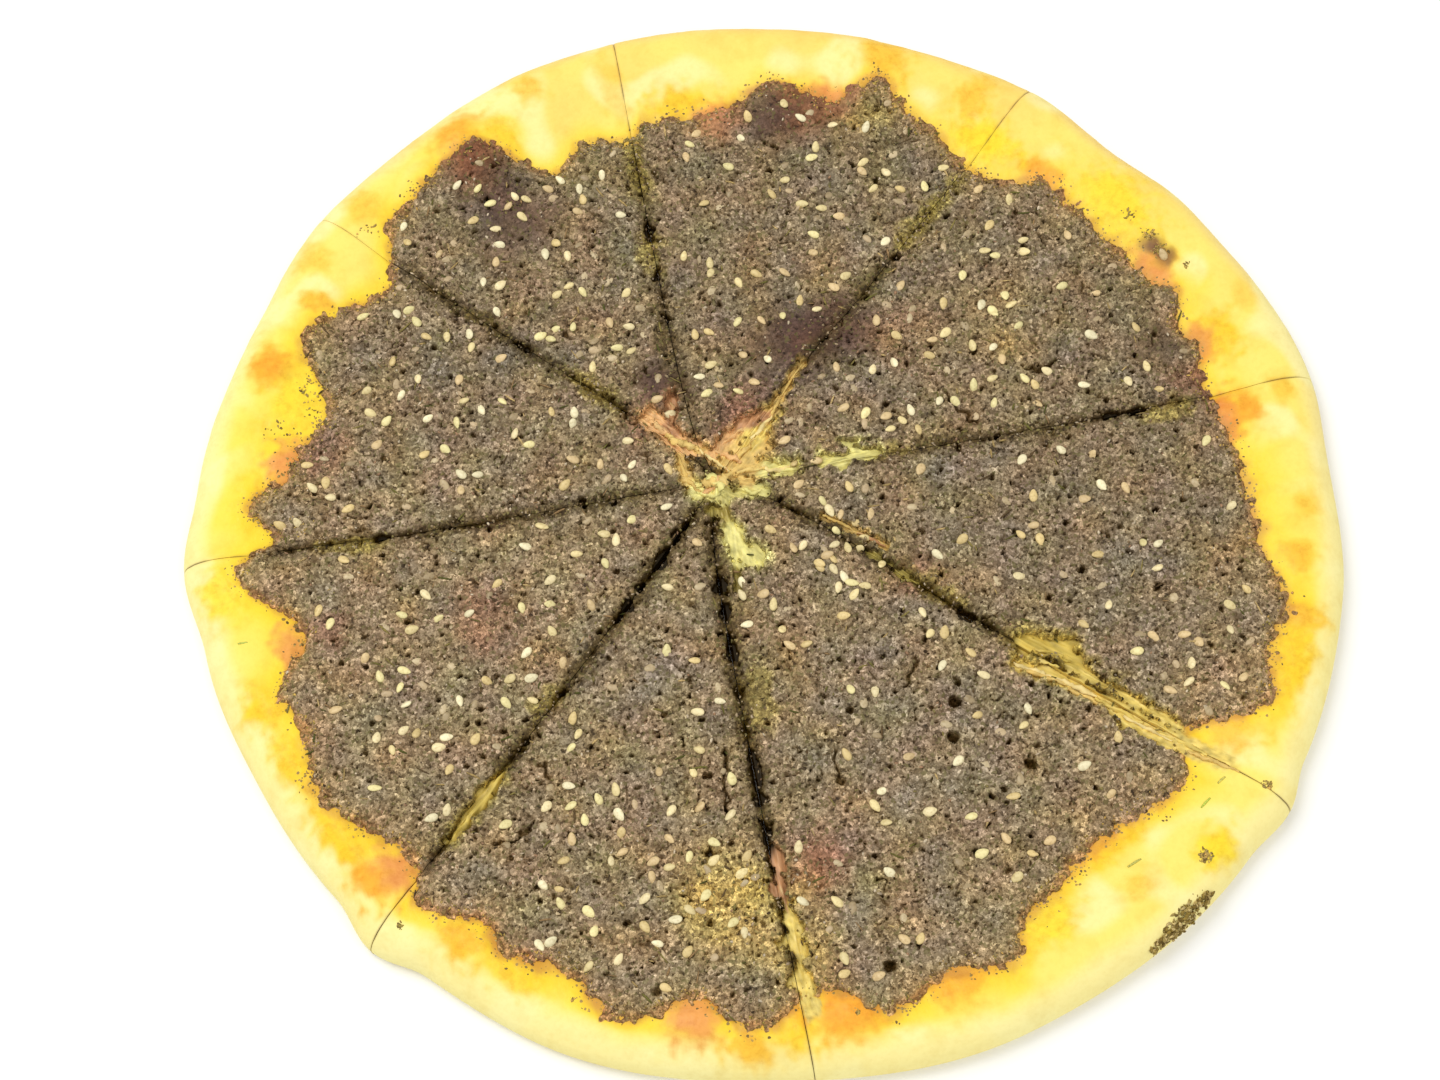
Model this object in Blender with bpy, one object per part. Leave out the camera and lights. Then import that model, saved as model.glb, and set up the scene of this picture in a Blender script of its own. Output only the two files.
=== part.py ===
"""A round za'atar flatbread, baked and then cut through four times into eight slices.

The slices still lie together as one round. Each slice is two solids: the bread, with a flat base
and a raised rim, and the dark za'atar layer that lies on it, with its sesame seeds fused in.
Sizes are in millimetres until a mesh is made, and directions in degrees from +X towards +Y.
The base lies on z = 0, and the origin is the middle of the round's box.
"""

import math
import random

import bmesh
import bpy
from mathutils import Matrix, Vector, noise
from mathutils.bvhtree import BVHTree

MM = 0.001
DOWN = Vector((0, 0, -1))

# The round: its middle, the hub where the cuts meet, and its outer edge as (direction, distance)
# from the middle. The edge has a small corner where a cut leaves it and runs flatter between.
DOUGH_MIDDLE = Vector((0.55, -1.08))
DOUGH_RADIUS = 138.6
HUB = Vector((-8.95, 6.42))
OUTER_EDGE = (
    (9, 140.2), (31, 137.0), (42, 134.4), (53, 137.2), (64, 136.9), (78, 137.8),
    (101, 139.5), (110, 140.0), (128, 138.5), (139, 139.2), (153, 137.0), (172, 138.2),
    (180.5, 140.2), (190, 137.0), (206, 135.3), (219, 135.6), (225.2, 138.6), (231, 135.6),
    (248, 137.2), (265, 136.2), (290, 139.0), (317, 140.9), (323, 143.0), (328, 140.9),
    (345, 140.4), (359, 138.6),
)

# The bread's section: (distance in from the outer edge, height), from the side to the flat floor.
RIM_SECTION = (
    (0, 2.7), (0.5, 4.7), (1.8, 6.8), (4.5, 8.6), (8.5, 9.4), (13, 9.0), (19, 7.4), (26, 5.6),
    (34, 4.6),
)
FLOOR_HEIGHT = 4.6
BASE_ROUNDING = 1.7
RIM_WAVE = 0.5
RIM_WAVE_LENGTH = 34
RIM_WAVE_FADE = 4

# Each cut: its direction at the rim from the hub, and how far its line passes beside the hub.
CUTS = (
    (4.8, -0.5), (48.2, 2.5), (97.0, 4.5), (138.7, -4.0), (184.2, 0.0), (230.2, 0.5),
    (273.5, -5.0), (322.9, 5.0),
)
CUT_EASING = 16
HALF_CUT = 0.25
TIP_WIDTH = 0.9

# The za'atar: its edge is one row of (direction, distance) from the middle for each slice, in
# lobes and notches as it was spread by hand.
LOBES = (
    ((11, 113), (16, 116.5), (19, 114), (23, 118), (27, 114), (38, 113.5), (45, 114.5),
     (50, 108.5)),
    ((54, 107.5), (63, 114), (70, 123), (75.5, 115), (82, 118), (91, 111), (99, 112.5)),
    ((103, 108.5), (107.5, 112), (113.5, 108), (121, 125.5), (134, 122)),
    ((141.5, 111.5), (152, 122), (161, 109.5), (169, 114.5), (175, 123)),
    ((178, 117), (182.5, 125.5), (191, 112.5), (198, 122), (203, 119.5), (209.5, 124),
     (222, 117)),
    ((227, 124), (233.5, 118.5), (237, 122), (243, 120), (251, 127), (258, 119.5),
     (263.5, 125.5)),
    ((272, 117.5), (278, 125), (286, 120.5), (291.5, 124.5), (296, 116), (307, 113),
     (320, 119)),
    ((323.5, 113), (332, 127.5), (338, 124.5), (342, 127), (350, 119), (356, 117)),
)
TOPPING_EDGE = tuple(pair for lobes in LOBES for pair in lobes)
LAYER_GAP = 0.38
INNER_GAP = 0.25
LAYER_THICKNESS = 2.3
LAYER_EDGE_THICKNESS = 0.9
EDGE_THINNING = 9
GROOVE = 0.55
GROOVE_DEPTH = 0.9
CRUMB_RELIEF = 0.45
CRUMB_SIZE = 7
BARE_TIPS = (9, 13, 11, 6, 4, 4, 5, 12)

# Swollen places: x, y, radius and height. The first rows lift bread and topping together, and
# less near the bread's outer edge. The others lift only the topping.
BLISTER_FADE = 6
RIM_BLISTERS = (
    (105, 58, 8, 1.5), (-66, 107, 9, 1.3), (18, 113, 13, 1.8), (0, 109, 6, 0.9),
    (-116, 47, 6, 1.0), (-114, 22, 9, 1.2), (-91, -82, 8, 1.0), (9, -123, 9, 1.1),
    (-24, -122, 8, 0.8), (117, 11, 8, 1.0),
)
TOPPING_BLISTERS = (
    (16, 44, 11, 1.7), (-20, 34, 7, 1.1), (-54, 84, 10, 0.9), (-66, -24, 9, 0.7),
    (5, -88, 10, 0.7),
)

# Bread torn up along a cut where the topping came away: cut, side (1 is anticlockwise of it),
# nearest and farthest distance from the hub, and width.
TORN_STRIPS = (
    (7, 1, 68, 132, 5.0), (6, 1, 8, 26, 6.5), (6, 1, 48, 62, 4.5), (0, -1, 24, 44, 3.2),
    (0, 1, 24, 44, 2.4), (5, 1, 82, 108, 3.0), (2, -1, 80, 102, 2.4), (4, -1, 84, 102, 2.6),
    (3, -1, 30, 46, 3.2),
)
TORN_LIFT = 1.5
TORN_FADE = 8

# Sesame: a seed's full size, how much narrower it is at its pointed end, how far its middle
# stands above the surface, and how many lie on each slice. They lie thicker about some places:
# x, y, spread and how much thicker.
SEED_SIZE = (3.3, 1.9, 1.2)
SEED_NARROWING = 0.28
SEED_STAND = 0.22
SEED_SPACING = 3.6
SEEDS_ON = (21, 21, 16, 19, 23, 31, 27, 20)
SEED_CLUSTERS = (
    (14, -16, 9, 5.0), (-36, -72, 16, 3.0), (104, -50, 12, 2.5), (-20, -96, 16, 2.0),
    (-68, -48, 14, 2.0), (28, 80, 20, 1.5), (60, 40, 18, 1.0),
)
SEED_MARGIN = 3.0
FIRST_SEED_DRAW = 100

# A clump of za'atar that fell on the rim's outer shoulder, in one slice.
SPILL_SLICE = 6
SPILL_DRAW = 7
SPILL_FROM = Vector((80.0, -111.5))
SPILL_TO = Vector((90.5, -102.5))
SPILL_LUMPS = 5
SPILL_RADIUS = 2.1
SPILL_LENGTH = 1.5
SPILL_WIDTHS = (0.7, 1.1)
SPILL_HEIGHTS = (0.45, 0.7)
SPILL_STAND = 0.1
SPILL_INSET = 0.8

# How finely each solid is divided.
COLUMNS = 13
BREAD_ROWS = (0, 0.05, 0.1, 0.17, 0.26, 0.38, 0.52, 0.68, 0.82, 0.92, 1)
BREAD_BAND_ROWS = (0.72, 0.46, 0.22)
BREAD_EDGE_ROWS = (1.8, 0.5, 0)
LAYER_ROWS = (0, 0.07, 0.16, 0.26, 0.36, 0.46, 0.56, 0.66, 0.76, 0.85, 0.93, 0.975, 1)
BREAD_EDGE_COLUMN = 5
EDGE_COLUMN = 1.9
BREAD_TIP_FROM = 1.25
TIP_STEP = 0.25
REACH_STEPS = 8
NEARLY_TOUCHING = 0.01
FLAT_ENOUGH = math.radians(0.5)


def ray(direction):
    """The unit step in a direction."""
    return Vector((math.cos(math.radians(direction)), math.sin(math.radians(direction))))


def direction_of(step):
    return math.degrees(math.atan2(step.y, step.x))


def eased(share):
    return (1 - math.cos(math.pi * min(max(share, 0), 1))) / 2


def through(pairs, place):
    """The value at a place on a smooth line through (place, value) pairs."""
    for (start, low), (end, high) in zip(pairs, pairs[1:]):
        if place <= end:
            return low + (high - low) * eased((place - start) / (end - start))
    return pairs[-1][1]


def around(edge, direction):
    """The distance from the middle to a closed edge, in a direction."""
    turn = (direction - edge[0][0]) % 360 + edge[0][0]
    return through(edge + ((edge[0][0] + 360, edge[0][1]),), turn)


def reach(edge, direction):
    """The distance from the hub to a closed edge, in a direction, found in a few steps."""
    step = ray(direction)
    distance = around(edge, direction)
    for _ in range(REACH_STEPS):
        from_middle = HUB + step * distance - DOUGH_MIDDLE
        distance -= from_middle.length - around(edge, direction_of(from_middle))
    return distance


def cut_direction(cut, distance):
    """The direction from the hub to a cut, at a distance from the hub."""
    turn, number = divmod(cut, len(CUTS))
    at_rim, beside = CUTS[number]
    bend = beside / math.hypot(distance, CUT_EASING) - beside / DOUGH_RADIUS
    return at_rim + 360 * turn + math.degrees(bend)


def bump(share):
    """A smooth rise from 0 at a share of 1 to 1 at a share of 0."""
    return 1 - eased(share)


def strips_along(cut, side, distance):
    """The strips torn up along a cut, as how open each is here, from 0 to 1, and its width."""
    for number, strip_side, near, far, width in TORN_STRIPS:
        if number == cut % len(CUTS) and strip_side == side:
            fade = min(TORN_FADE, (far - near) / 3)
            yield eased(min(distance - near, far - distance) / fade), width


def torn(cut, side, distance, beside):
    """How far the bread is torn up, from 0 to 1, beside a cut."""
    strips = strips_along(cut, side, distance)
    return max((share * bump(beside / width) for share, width in strips), default=0)


def bare_width(cut, side, distance):
    """How far the topping's edge lies back from a cut, beyond the groove."""
    strips = strips_along(cut, side, distance)
    return max((share * width for share, width in strips), default=0)


def swelling(blisters, spot):
    """How far the blisters lift a spot."""
    lift = 0
    for x, y, radius, height in blisters:
        lift += height * bump((spot - Vector((x, y))).length / radius)
    return lift


def bread_height(number, spot):
    """The top of the bread in a slice."""
    from_hub = spot - HUB
    direction = direction_of(from_hub)
    inset = reach(OUTER_EDGE, direction) - from_hub.length
    height = through(RIM_SECTION, max(inset, 0))
    share = (height - RIM_SECTION[0][1]) / FLOOR_HEIGHT
    if inset < RIM_SECTION[-1][0]:
        wave = noise.noise(Vector((spot.x, spot.y, 0)) / RIM_WAVE_LENGTH)
        height += RIM_WAVE * wave * eased(inset / RIM_WAVE_FADE) * eased(share)
    height += swelling(RIM_BLISTERS, spot) * eased(inset / BLISTER_FADE)
    for cut, side in ((number, 1), (number + 1, -1)):
        turn = (direction - cut_direction(cut, from_hub.length) + 180) % 360 - 180
        beside = abs(from_hub.length * math.sin(math.radians(turn)))
        height += TORN_LIFT * torn(cut, side, from_hub.length, beside)
    return height + TORN_LIFT * bump(from_hub.length / BARE_TIPS[number])


def layer_height(number, spot, beside):
    """The top of the za'atar in a slice. The cutter pressed it down beside a cut."""
    from_hub = spot - HUB
    inset = reach(TOPPING_EDGE, direction_of(from_hub)) - from_hub.length
    body = eased(inset / EDGE_THINNING)
    thickness = LAYER_EDGE_THICKNESS + (LAYER_THICKNESS - LAYER_EDGE_THICKNESS) * body
    thickness -= GROOVE_DEPTH * bump(beside / (2 * EDGE_COLUMN)) * body
    grain = noise.noise(Vector((spot.x, spot.y, 10)) / CRUMB_SIZE)
    thickness += CRUMB_RELIEF * grain * body + swelling(TOPPING_BLISTERS, spot)
    return bread_height(number, spot) + LAYER_GAP + thickness


def column_direction(number, column, distance, gaps, edge_column):
    """The direction of a column of points between a slice's two cuts.

    The first and last columns run along the cuts, each gap away, and the next ones a little in.
    """
    start = cut_direction(number, distance) + math.degrees(gaps[0] / distance)
    end = cut_direction(number + 1, distance) - math.degrees(gaps[1] / distance)
    inner = min(math.degrees(edge_column / distance), (end - start) / 4)
    if column == 0:
        return start
    if column == COLUMNS:
        return end
    share = (column - 1) / (COLUMNS - 2)
    return start + inner + (end - start - 2 * inner) * share


def tip_distance(number, gap, least):
    """Where a slice is first wide enough to have a tip."""
    distance = least
    while True:
        width = cut_direction(number + 1, distance) - cut_direction(number, distance)
        if math.radians(width) * distance - 2 * gap >= TIP_WIDTH:
            return distance
        distance += TIP_STEP


def bread_spot(number, column, row, tip):
    """The place of a point of the bread's top."""
    gaps = (HALF_CUT, HALF_CUT)
    far = column_direction(number, column, DOUGH_RADIUS, gaps, BREAD_EDGE_COLUMN)
    inner = reach(TOPPING_EDGE, far)
    outer = reach(OUTER_EDGE, far)
    rows = [tip + (inner - tip) * share for share in BREAD_ROWS]
    rows += [outer - (outer - inner) * share for share in BREAD_BAND_ROWS]
    rows += [outer - inset for inset in BREAD_EDGE_ROWS]
    distance = rows[row]
    if row == 0:
        middle = cut_direction(number, tip) + cut_direction(number + 1, tip)
        return HUB + ray(middle / 2) * tip
    direction = column_direction(number, column, distance, gaps, BREAD_EDGE_COLUMN)
    return HUB + ray(direction) * distance


def layer_spot(number, column, row, tip):
    """The place of a point of the za'atar's top, and its distance from the nearer cut edge."""
    gap = HALF_CUT + GROOVE
    far = column_direction(number, column, DOUGH_RADIUS, (gap, gap), EDGE_COLUMN)
    distance = tip + (reach(TOPPING_EDGE, far) - tip) * LAYER_ROWS[row]
    if row == 0:
        middle = cut_direction(number, tip) + cut_direction(number + 1, tip)
        return HUB + ray(middle / 2) * tip, 0
    gaps = (
        gap + bare_width(number, 1, distance),
        gap + bare_width(number + 1, -1, distance),
    )
    direction = column_direction(number, column, distance, gaps, EDGE_COLUMN)
    start = column_direction(number, 0, distance, gaps, EDGE_COLUMN)
    end = column_direction(number, COLUMNS, distance, gaps, EDGE_COLUMN)
    beside = math.radians(min(direction - start, end - direction)) * distance
    return HUB + ray(direction) * distance, beside


def slab(rows, top_point, base_point):
    """A grid bent to a slice's plan and top, then extruded down to its underside.

    The first row is the slice's tip, so its points are merged into one.
    """
    mesh = bmesh.new()
    bmesh.ops.create_grid(mesh, x_segments=COLUMNS, y_segments=rows - 1, size=1)
    places = {}
    for vert in mesh.verts:
        column = round((vert.co.x + 1) / 2 * COLUMNS)
        row = round((vert.co.y + 1) / 2 * (rows - 1))
        places[vert] = (column, row)
    under = bmesh.ops.extrude_face_region(mesh, geom=mesh.faces[:])["geom"]
    lower = [part for part in under if isinstance(part, bmesh.types.BMVert)]
    upper = {tuple(vert.co): place for vert, place in places.items()}
    lower_places = {vert: upper[tuple(vert.co)] for vert in lower}
    for vert, place in places.items():
        vert.co = top_point(*place) * MM
    for vert, place in lower_places.items():
        vert.co = base_point(*place) * MM
    bmesh.ops.remove_doubles(mesh, verts=mesh.verts, dist=NEARLY_TOUCHING * MM)
    bmesh.ops.recalc_face_normals(mesh, faces=mesh.faces)
    bmesh.ops.dissolve_limit(
        mesh, angle_limit=FLAT_ENOUGH, verts=mesh.verts, edges=mesh.edges
    )
    bmesh.ops.recalc_face_normals(mesh, faces=mesh.faces)
    bmesh.ops.triangulate(mesh, faces=mesh.faces)
    return mesh


def bread_slab(number):
    """One slice's bread."""
    rows = len(BREAD_ROWS) + len(BREAD_BAND_ROWS) + len(BREAD_EDGE_ROWS)
    tip = tip_distance(number, HALF_CUT, BREAD_TIP_FROM)

    def top_point(column, row):
        spot = bread_spot(number, column, row, tip)
        return spot.to_3d() + Vector((0, 0, bread_height(number, spot)))

    def base_point(column, row):
        spot = bread_spot(number, column, row, tip)
        if row == rows - 1:
            spot -= (spot - HUB).normalized() * BASE_ROUNDING
        return spot.to_3d()

    return slab(rows, top_point, base_point)


def surface_of(thing):
    """What a ray meets on a solid."""
    mesh = bmesh.new()
    mesh.from_mesh(thing.data)
    tree = BVHTree.FromBMesh(mesh)
    mesh.free()
    return tree


def height_on(surface, spot):
    """The height of a solid's top at a spot."""
    found, _, _, _ = surface.ray_cast(Vector((spot.x, spot.y, 1 / MM)) * MM, DOWN)
    return found.z / MM


def layer_slab(number, bread):
    """One slice's za'atar, without its seeds, just clear of the bread under it."""
    tip = tip_distance(number, HALF_CUT + GROOVE, BARE_TIPS[number])

    def top_point(column, row):
        spot, beside = layer_spot(number, column, row, tip)
        return spot.to_3d() + Vector((0, 0, layer_height(number, spot, beside)))

    def base_point(column, row):
        spot, beside = layer_spot(number, column, row, tip)
        gap = LAYER_GAP + INNER_GAP * eased(beside / EDGE_COLUMN)
        return spot.to_3d() + Vector((0, 0, height_on(bread, spot) + gap))

    return slab(len(LAYER_ROWS), top_point, base_point)


def material(name, color, roughness):
    made = bpy.data.materials.new(name)
    made.use_nodes = True
    shader = made.node_tree.nodes["Principled BSDF"]
    shader.inputs["Base Color"].default_value = (*color, 1)
    shader.inputs["Roughness"].default_value = roughness
    shader.inputs["Metallic"].default_value = 0
    return made


def add_object(name, mesh, finish, collection):
    """An object made of a bmesh, which is freed."""
    data = bpy.data.meshes.new(name)
    mesh.to_mesh(data)
    mesh.free()
    data.materials.append(finish)
    made = bpy.data.objects.new(name, data)
    collection.objects.link(made)
    return made


def seed_density(spot):
    return 1 + sum(
        more * math.exp(-((spot - Vector((x, y))).length / spread) ** 2)
        for x, y, spread, more in SEED_CLUSTERS
    )


def seed_places(number):
    """Where the seeds lie on a slice, and which way each points, by a seeded draw."""
    draw = random.Random(FIRST_SEED_DRAW + number)
    most = 1 + max(more for _, _, _, more in SEED_CLUSTERS)
    places = []
    while len(places) < SEEDS_ON[number]:
        share = draw.random()
        distance = DOUGH_RADIUS * math.sqrt(draw.random())
        gap = HALF_CUT + GROOVE + SEED_MARGIN
        gaps = (
            gap + bare_width(number, 1, distance),
            gap + bare_width(number + 1, -1, distance),
        )
        start = cut_direction(number, distance) + math.degrees(gaps[0] / distance)
        end = cut_direction(number + 1, distance) - math.degrees(gaps[1] / distance)
        spot = HUB + ray(start + (end - start) * share) * distance
        chance = draw.random() * most
        heading = draw.uniform(0, 180)
        far_enough = distance > BARE_TIPS[number] + 2 * SEED_MARGIN
        inside = reach(TOPPING_EDGE, direction_of(spot - HUB)) - distance > SEED_MARGIN
        clear = all((spot - other).length > SEED_SPACING for other, _ in places)
        if start < end and far_enough and inside and clear and chance < seed_density(spot):
            places.append((spot, heading))
    return places


def seed_mesh():
    """A drop-shaped seed, blunt at one end."""
    mesh = bmesh.new()
    bmesh.ops.create_icosphere(mesh, subdivisions=1, radius=1)
    for vert in mesh.verts:
        narrowing = 1 - SEED_NARROWING * vert.co.x
        size = Vector(SEED_SIZE) / 2 * MM
        vert.co = Vector((vert.co.x, vert.co.y * narrowing, vert.co.z)) * size
    data = bpy.data.meshes.new("sesame_seed")
    mesh.to_mesh(data)
    mesh.free()
    return data


def settle(surface, spot, heading, stand):
    """The placing of a thing that lies on a surface, turned to a heading."""
    found, normal, _, _ = surface.ray_cast(Vector((spot.x, spot.y, 1 / MM)) * MM, DOWN)
    lean = Vector((0, 0, 1)).rotation_difference(normal).to_matrix().to_4x4()
    turn = Matrix.Rotation(math.radians(heading), 4, "Z")
    return Matrix.Translation(found + normal * stand * MM) @ lean @ turn


def fuse(target, pieces, collection):
    """Joins loose pieces to a solid by one Boolean union on their collection."""
    for piece in pieces:
        collection.objects.link(piece)
    union = target.modifiers.new("fused_toppings", "BOOLEAN")
    union.operation = "UNION"
    union.operand_type = "COLLECTION"
    union.collection = collection
    union.solver = "EXACT"
    bpy.context.view_layer.update()
    graph = bpy.context.evaluated_depsgraph_get()
    joined = bpy.data.meshes.new_from_object(target.evaluated_get(graph))
    target.modifiers.remove(union)
    target.data = joined
    for piece in pieces:
        bpy.data.objects.remove(piece)


def seeds_on(layer, number, seed):
    """The loose seeds of a slice, lying on its za'atar."""
    surface = surface_of(layer)
    pieces = []
    for spot, heading in seed_places(number):
        piece = bpy.data.objects.new("sesame_seed", seed.copy())
        piece.matrix_world = settle(surface, spot, heading, SEED_STAND)
        pieces.append(piece)
    return pieces


def spill_lumps(bread):
    """The lumps of the clump on the rim's shoulder."""
    surface = surface_of(bread)
    draw = random.Random(SPILL_DRAW)
    pieces = []
    for lump in range(SPILL_LUMPS):
        share = lump / (SPILL_LUMPS - 1)
        spot = SPILL_FROM.lerp(SPILL_TO, share)
        direction = direction_of(spot - HUB)
        spot = HUB + ray(direction) * (reach(OUTER_EDGE, direction) - SPILL_INSET)
        mesh = bmesh.new()
        bmesh.ops.create_icosphere(mesh, subdivisions=1, radius=1)
        width = draw.uniform(*SPILL_WIDTHS)
        size = Vector((SPILL_LENGTH, width, draw.uniform(*SPILL_HEIGHTS)))
        bmesh.ops.scale(mesh, vec=size * SPILL_RADIUS * MM, verts=mesh.verts)
        data = bpy.data.meshes.new("spilled_lump")
        mesh.to_mesh(data)
        mesh.free()
        piece = bpy.data.objects.new("spilled_lump", data)
        piece.matrix_world = settle(surface, spot, direction + 90, SPILL_STAND)
        pieces.append(piece)
    return pieces


def build():
    for old in list(bpy.data.objects):
        bpy.data.objects.remove(old)
    manakish = bpy.data.collections.new("manakish")
    loose = bpy.data.collections.new("loose_toppings")
    for collection in (manakish, loose):
        bpy.context.scene.collection.children.link(collection)
    dough = material("baked_dough", (0.86, 0.62, 0.22), 0.6)
    paste = material("zaatar", (0.14, 0.11, 0.06), 0.9)
    seed = seed_mesh()
    for number in range(len(CUTS)):
        bread = add_object(f"bread_slice_{number + 1}", bread_slab(number), dough, manakish)
        slab_of_paste = layer_slab(number, surface_of(bread))
        layer = add_object(f"zaatar_layer_{number + 1}", slab_of_paste, paste, manakish)
        fuse(layer, seeds_on(layer, number, seed), loose)
        if number == SPILL_SLICE:
            fuse(bread, spill_lumps(bread), loose)
    bpy.data.meshes.remove(seed)


build()
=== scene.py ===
"""The looks of a round za'atar flatbread that was baked and then cut through into eight slices."""

import math
import random

import bpy
import numpy as np
from mathutils import Matrix, Vector, noise
from mathutils.bvhtree import BVHTree


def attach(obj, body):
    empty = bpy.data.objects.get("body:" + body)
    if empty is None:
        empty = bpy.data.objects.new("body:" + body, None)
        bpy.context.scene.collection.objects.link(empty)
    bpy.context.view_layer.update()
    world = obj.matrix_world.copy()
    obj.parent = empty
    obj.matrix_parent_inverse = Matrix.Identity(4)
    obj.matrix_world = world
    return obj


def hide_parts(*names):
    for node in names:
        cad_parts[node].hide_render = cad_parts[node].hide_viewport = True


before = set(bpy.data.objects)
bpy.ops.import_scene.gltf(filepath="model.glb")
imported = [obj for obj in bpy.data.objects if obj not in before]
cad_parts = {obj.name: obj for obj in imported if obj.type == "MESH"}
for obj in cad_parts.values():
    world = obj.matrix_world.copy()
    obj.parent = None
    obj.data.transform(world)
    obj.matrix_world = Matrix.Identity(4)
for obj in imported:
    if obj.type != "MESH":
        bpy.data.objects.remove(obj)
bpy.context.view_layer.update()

# The bread: wheat dough rolled thin with its edge left thick, and baked until the rim puffs up,
# cream at its side and yellow with oil beside the topping. A wheel cut it through four times,
# and the eight slices still lie edge to edge as one round.
MM = 0.001
MIDDLE = np.array((0.55, -1.08))
HUB = np.array((-8.95, 6.42))
ROUND_RADIUS = 138.6
# The round's edge, as (direction, distance from its middle).
OUTER_EDGE = (
    (9, 140.2), (31, 137.0), (42, 134.4), (53, 137.2), (64, 136.9), (78, 137.8),
    (101, 139.5), (110, 140.0), (128, 138.5), (139, 139.2), (153, 137.0), (172, 138.2),
    (180.5, 140.2), (190, 137.0), (206, 135.3), (219, 135.6), (225.2, 138.6), (231, 135.6),
    (248, 137.2), (265, 136.2), (290, 139.0), (317, 140.9), (323, 143.0), (328, 140.9),
    (345, 140.4), (359, 138.6),
)
# The height of the top, as (distance inside the edge, height), and of the side, from its
# shoulder down, the same way.
RIM_SECTION = (
    (0, 2.7), (0.5, 4.7), (1.8, 6.8), (4.5, 8.6), (8.5, 9.4), (13, 9.0), (19, 7.4), (26, 5.6),
    (34, 4.6), (140, 4.6),
)
SIDE_SECTION = (
    (3.0, 7.75), (1.8, 6.8), (1.1, 5.85), (0.5, 4.7), (0.15, 3.7), (0, 2.7), (0.12, 1.8),
    (0.45, 0.95), (1.0, 0.3), (1.7, 0),
)
RIM_WAVE, RIM_WAVE_LENGTH, RIM_WAVE_FADE = 0.5, 34, 4
# The cuts from the hub, as (direction at the rim, how far it bows aside).
CUTS = (
    (4.8, -0.5), (48.2, 2.5), (97.0, 4.5), (138.7, -4.0), (184.2, 0.0), (230.2, 0.5),
    (273.5, -5.0), (322.9, 5.0),
)
CUT_EASING, RIM_CUT_FROM, RIM_CUT_EASING = 16, 112, 10
RIM_HALF_CUTS = (0.07, 0.05, 0.05, 0.05, 0.09, 0.11, 0.08, 0.1)
INNER_HALF_CUT = 0.04
TIP_DISTANCE = 1.6
BARE_TIPS = (9, 13, 11, 6, 4, 4, 5, 12)
# Blisters of the rim, as (x, y, radius, height).
RIM_BLISTERS = (
    (105, 58, 8, 1.5), (-66, 107, 9, 1.3), (18, 113, 13, 1.8), (0, 109, 6, 0.9),
    (-116, 47, 6, 1.0), (-114, 22, 9, 1.2), (-91, -82, 8, 1.0), (9, -123, 9, 1.1),
    (-24, -122, 8, 0.8), (117, 11, 8, 1.0),
)
BLISTER_FADE = 6
# Strips of dough that the wheel tore up, as (cut, side, near, far, width).
TORN_STRIPS = (
    (7, 1, 68, 132, 5.0), (6, 1, 8, 26, 6.5), (6, 1, 48, 62, 4.5), (0, -1, 24, 44, 3.2),
    (0, 1, 24, 44, 2.4), (5, 1, 82, 108, 3.0), (2, -1, 80, 102, 2.4), (4, -1, 84, 102, 2.6),
    (3, -1, 30, 46, 3.2),
)
TORN_LIFT, TORN_FADE = 1.5, 8
# Where slices were pulled apart, as (cut, near, far, half the gap's width), by the distance
# from the hub where the cuts meet.
OPEN_GAPS = (
    (5, 10, 45, 1.1), (5, 61, 71, 0.8), (6, 21, 51, 1.1), (6, 64, 94, 0.8), (2, 44, 50, 0.7),
    (2, 57, 64, 0.8), (2, 68, 78, 1.0), (0, 94, 109, 0.8), (4, 78, 86, 0.7), (4, 57, 61, 1.0),
    (3, 28, 33, 0.5), (3, 58, 66, 0.5), (3, 84, 92, 0.5), (1, 44, 50, 0.5), (1, 74, 80, 0.6),
    (7, 64, 75, 1.3), (4, 30, 38, 0.5), (0, 64, 72, 0.5),
)
LATTICE = 256
LATTICE_START, ROUGH_SPAN, LUMP_TALLNESS = 7 * LATTICE, 1.6, (0.45, 1)


def eased(share):
    return (1 - np.cos(np.pi * np.clip(share, 0, 1))) / 2


def through(pairs, place):
    """The value at each place on an eased line through (place, value) pairs."""
    places, values = np.array(pairs, float).T
    step = np.clip(np.searchsorted(places, place) - 1, 0, len(places) - 2)
    share = (place - places[step]) / (places[step + 1] - places[step])
    return values[step] + (values[step + 1] - values[step]) * eased(share)


def curved(pairs, place):
    """The value at each place on a curve through (place, value) pairs, with no flat steps."""
    places, values = np.array(pairs, float).T
    slopes = np.gradient(values, places)
    step = np.clip(np.searchsorted(places, place) - 1, 0, len(places) - 2)
    width = places[step + 1] - places[step]
    share = np.clip((place - places[step]) / width, 0, 1)
    back = 1 - share
    low = (1 + 2 * share) * back**2 * values[step] + share * back**2 * width * slopes[step]
    high = (3 - 2 * share) * share**2 * values[step + 1]
    return low + high - share**2 * back * width * slopes[step + 1]


def around(edge, direction):
    """The distance from the round's middle to a closed edge, in each direction in degrees."""
    first = edge[0][0]
    turn = (direction - first) % 360 + first
    return through(edge + ((first + 360, edge[0][1]),), turn)


def rays(direction):
    angle = np.radians(direction)
    return np.stack([np.cos(angle), np.sin(angle)], -1)


def heading(steps):
    return np.degrees(np.arctan2(steps[..., 1], steps[..., 0]))


def length(steps):
    return np.hypot(steps[..., 0], steps[..., 1])


def turn_from(start, direction):
    """The turn from one direction to another, from -180 to 180 degrees."""
    return (direction - start + 180) % 360 - 180


REACH_STEP, REACH_ROUNDS = 0.1, 8


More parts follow.
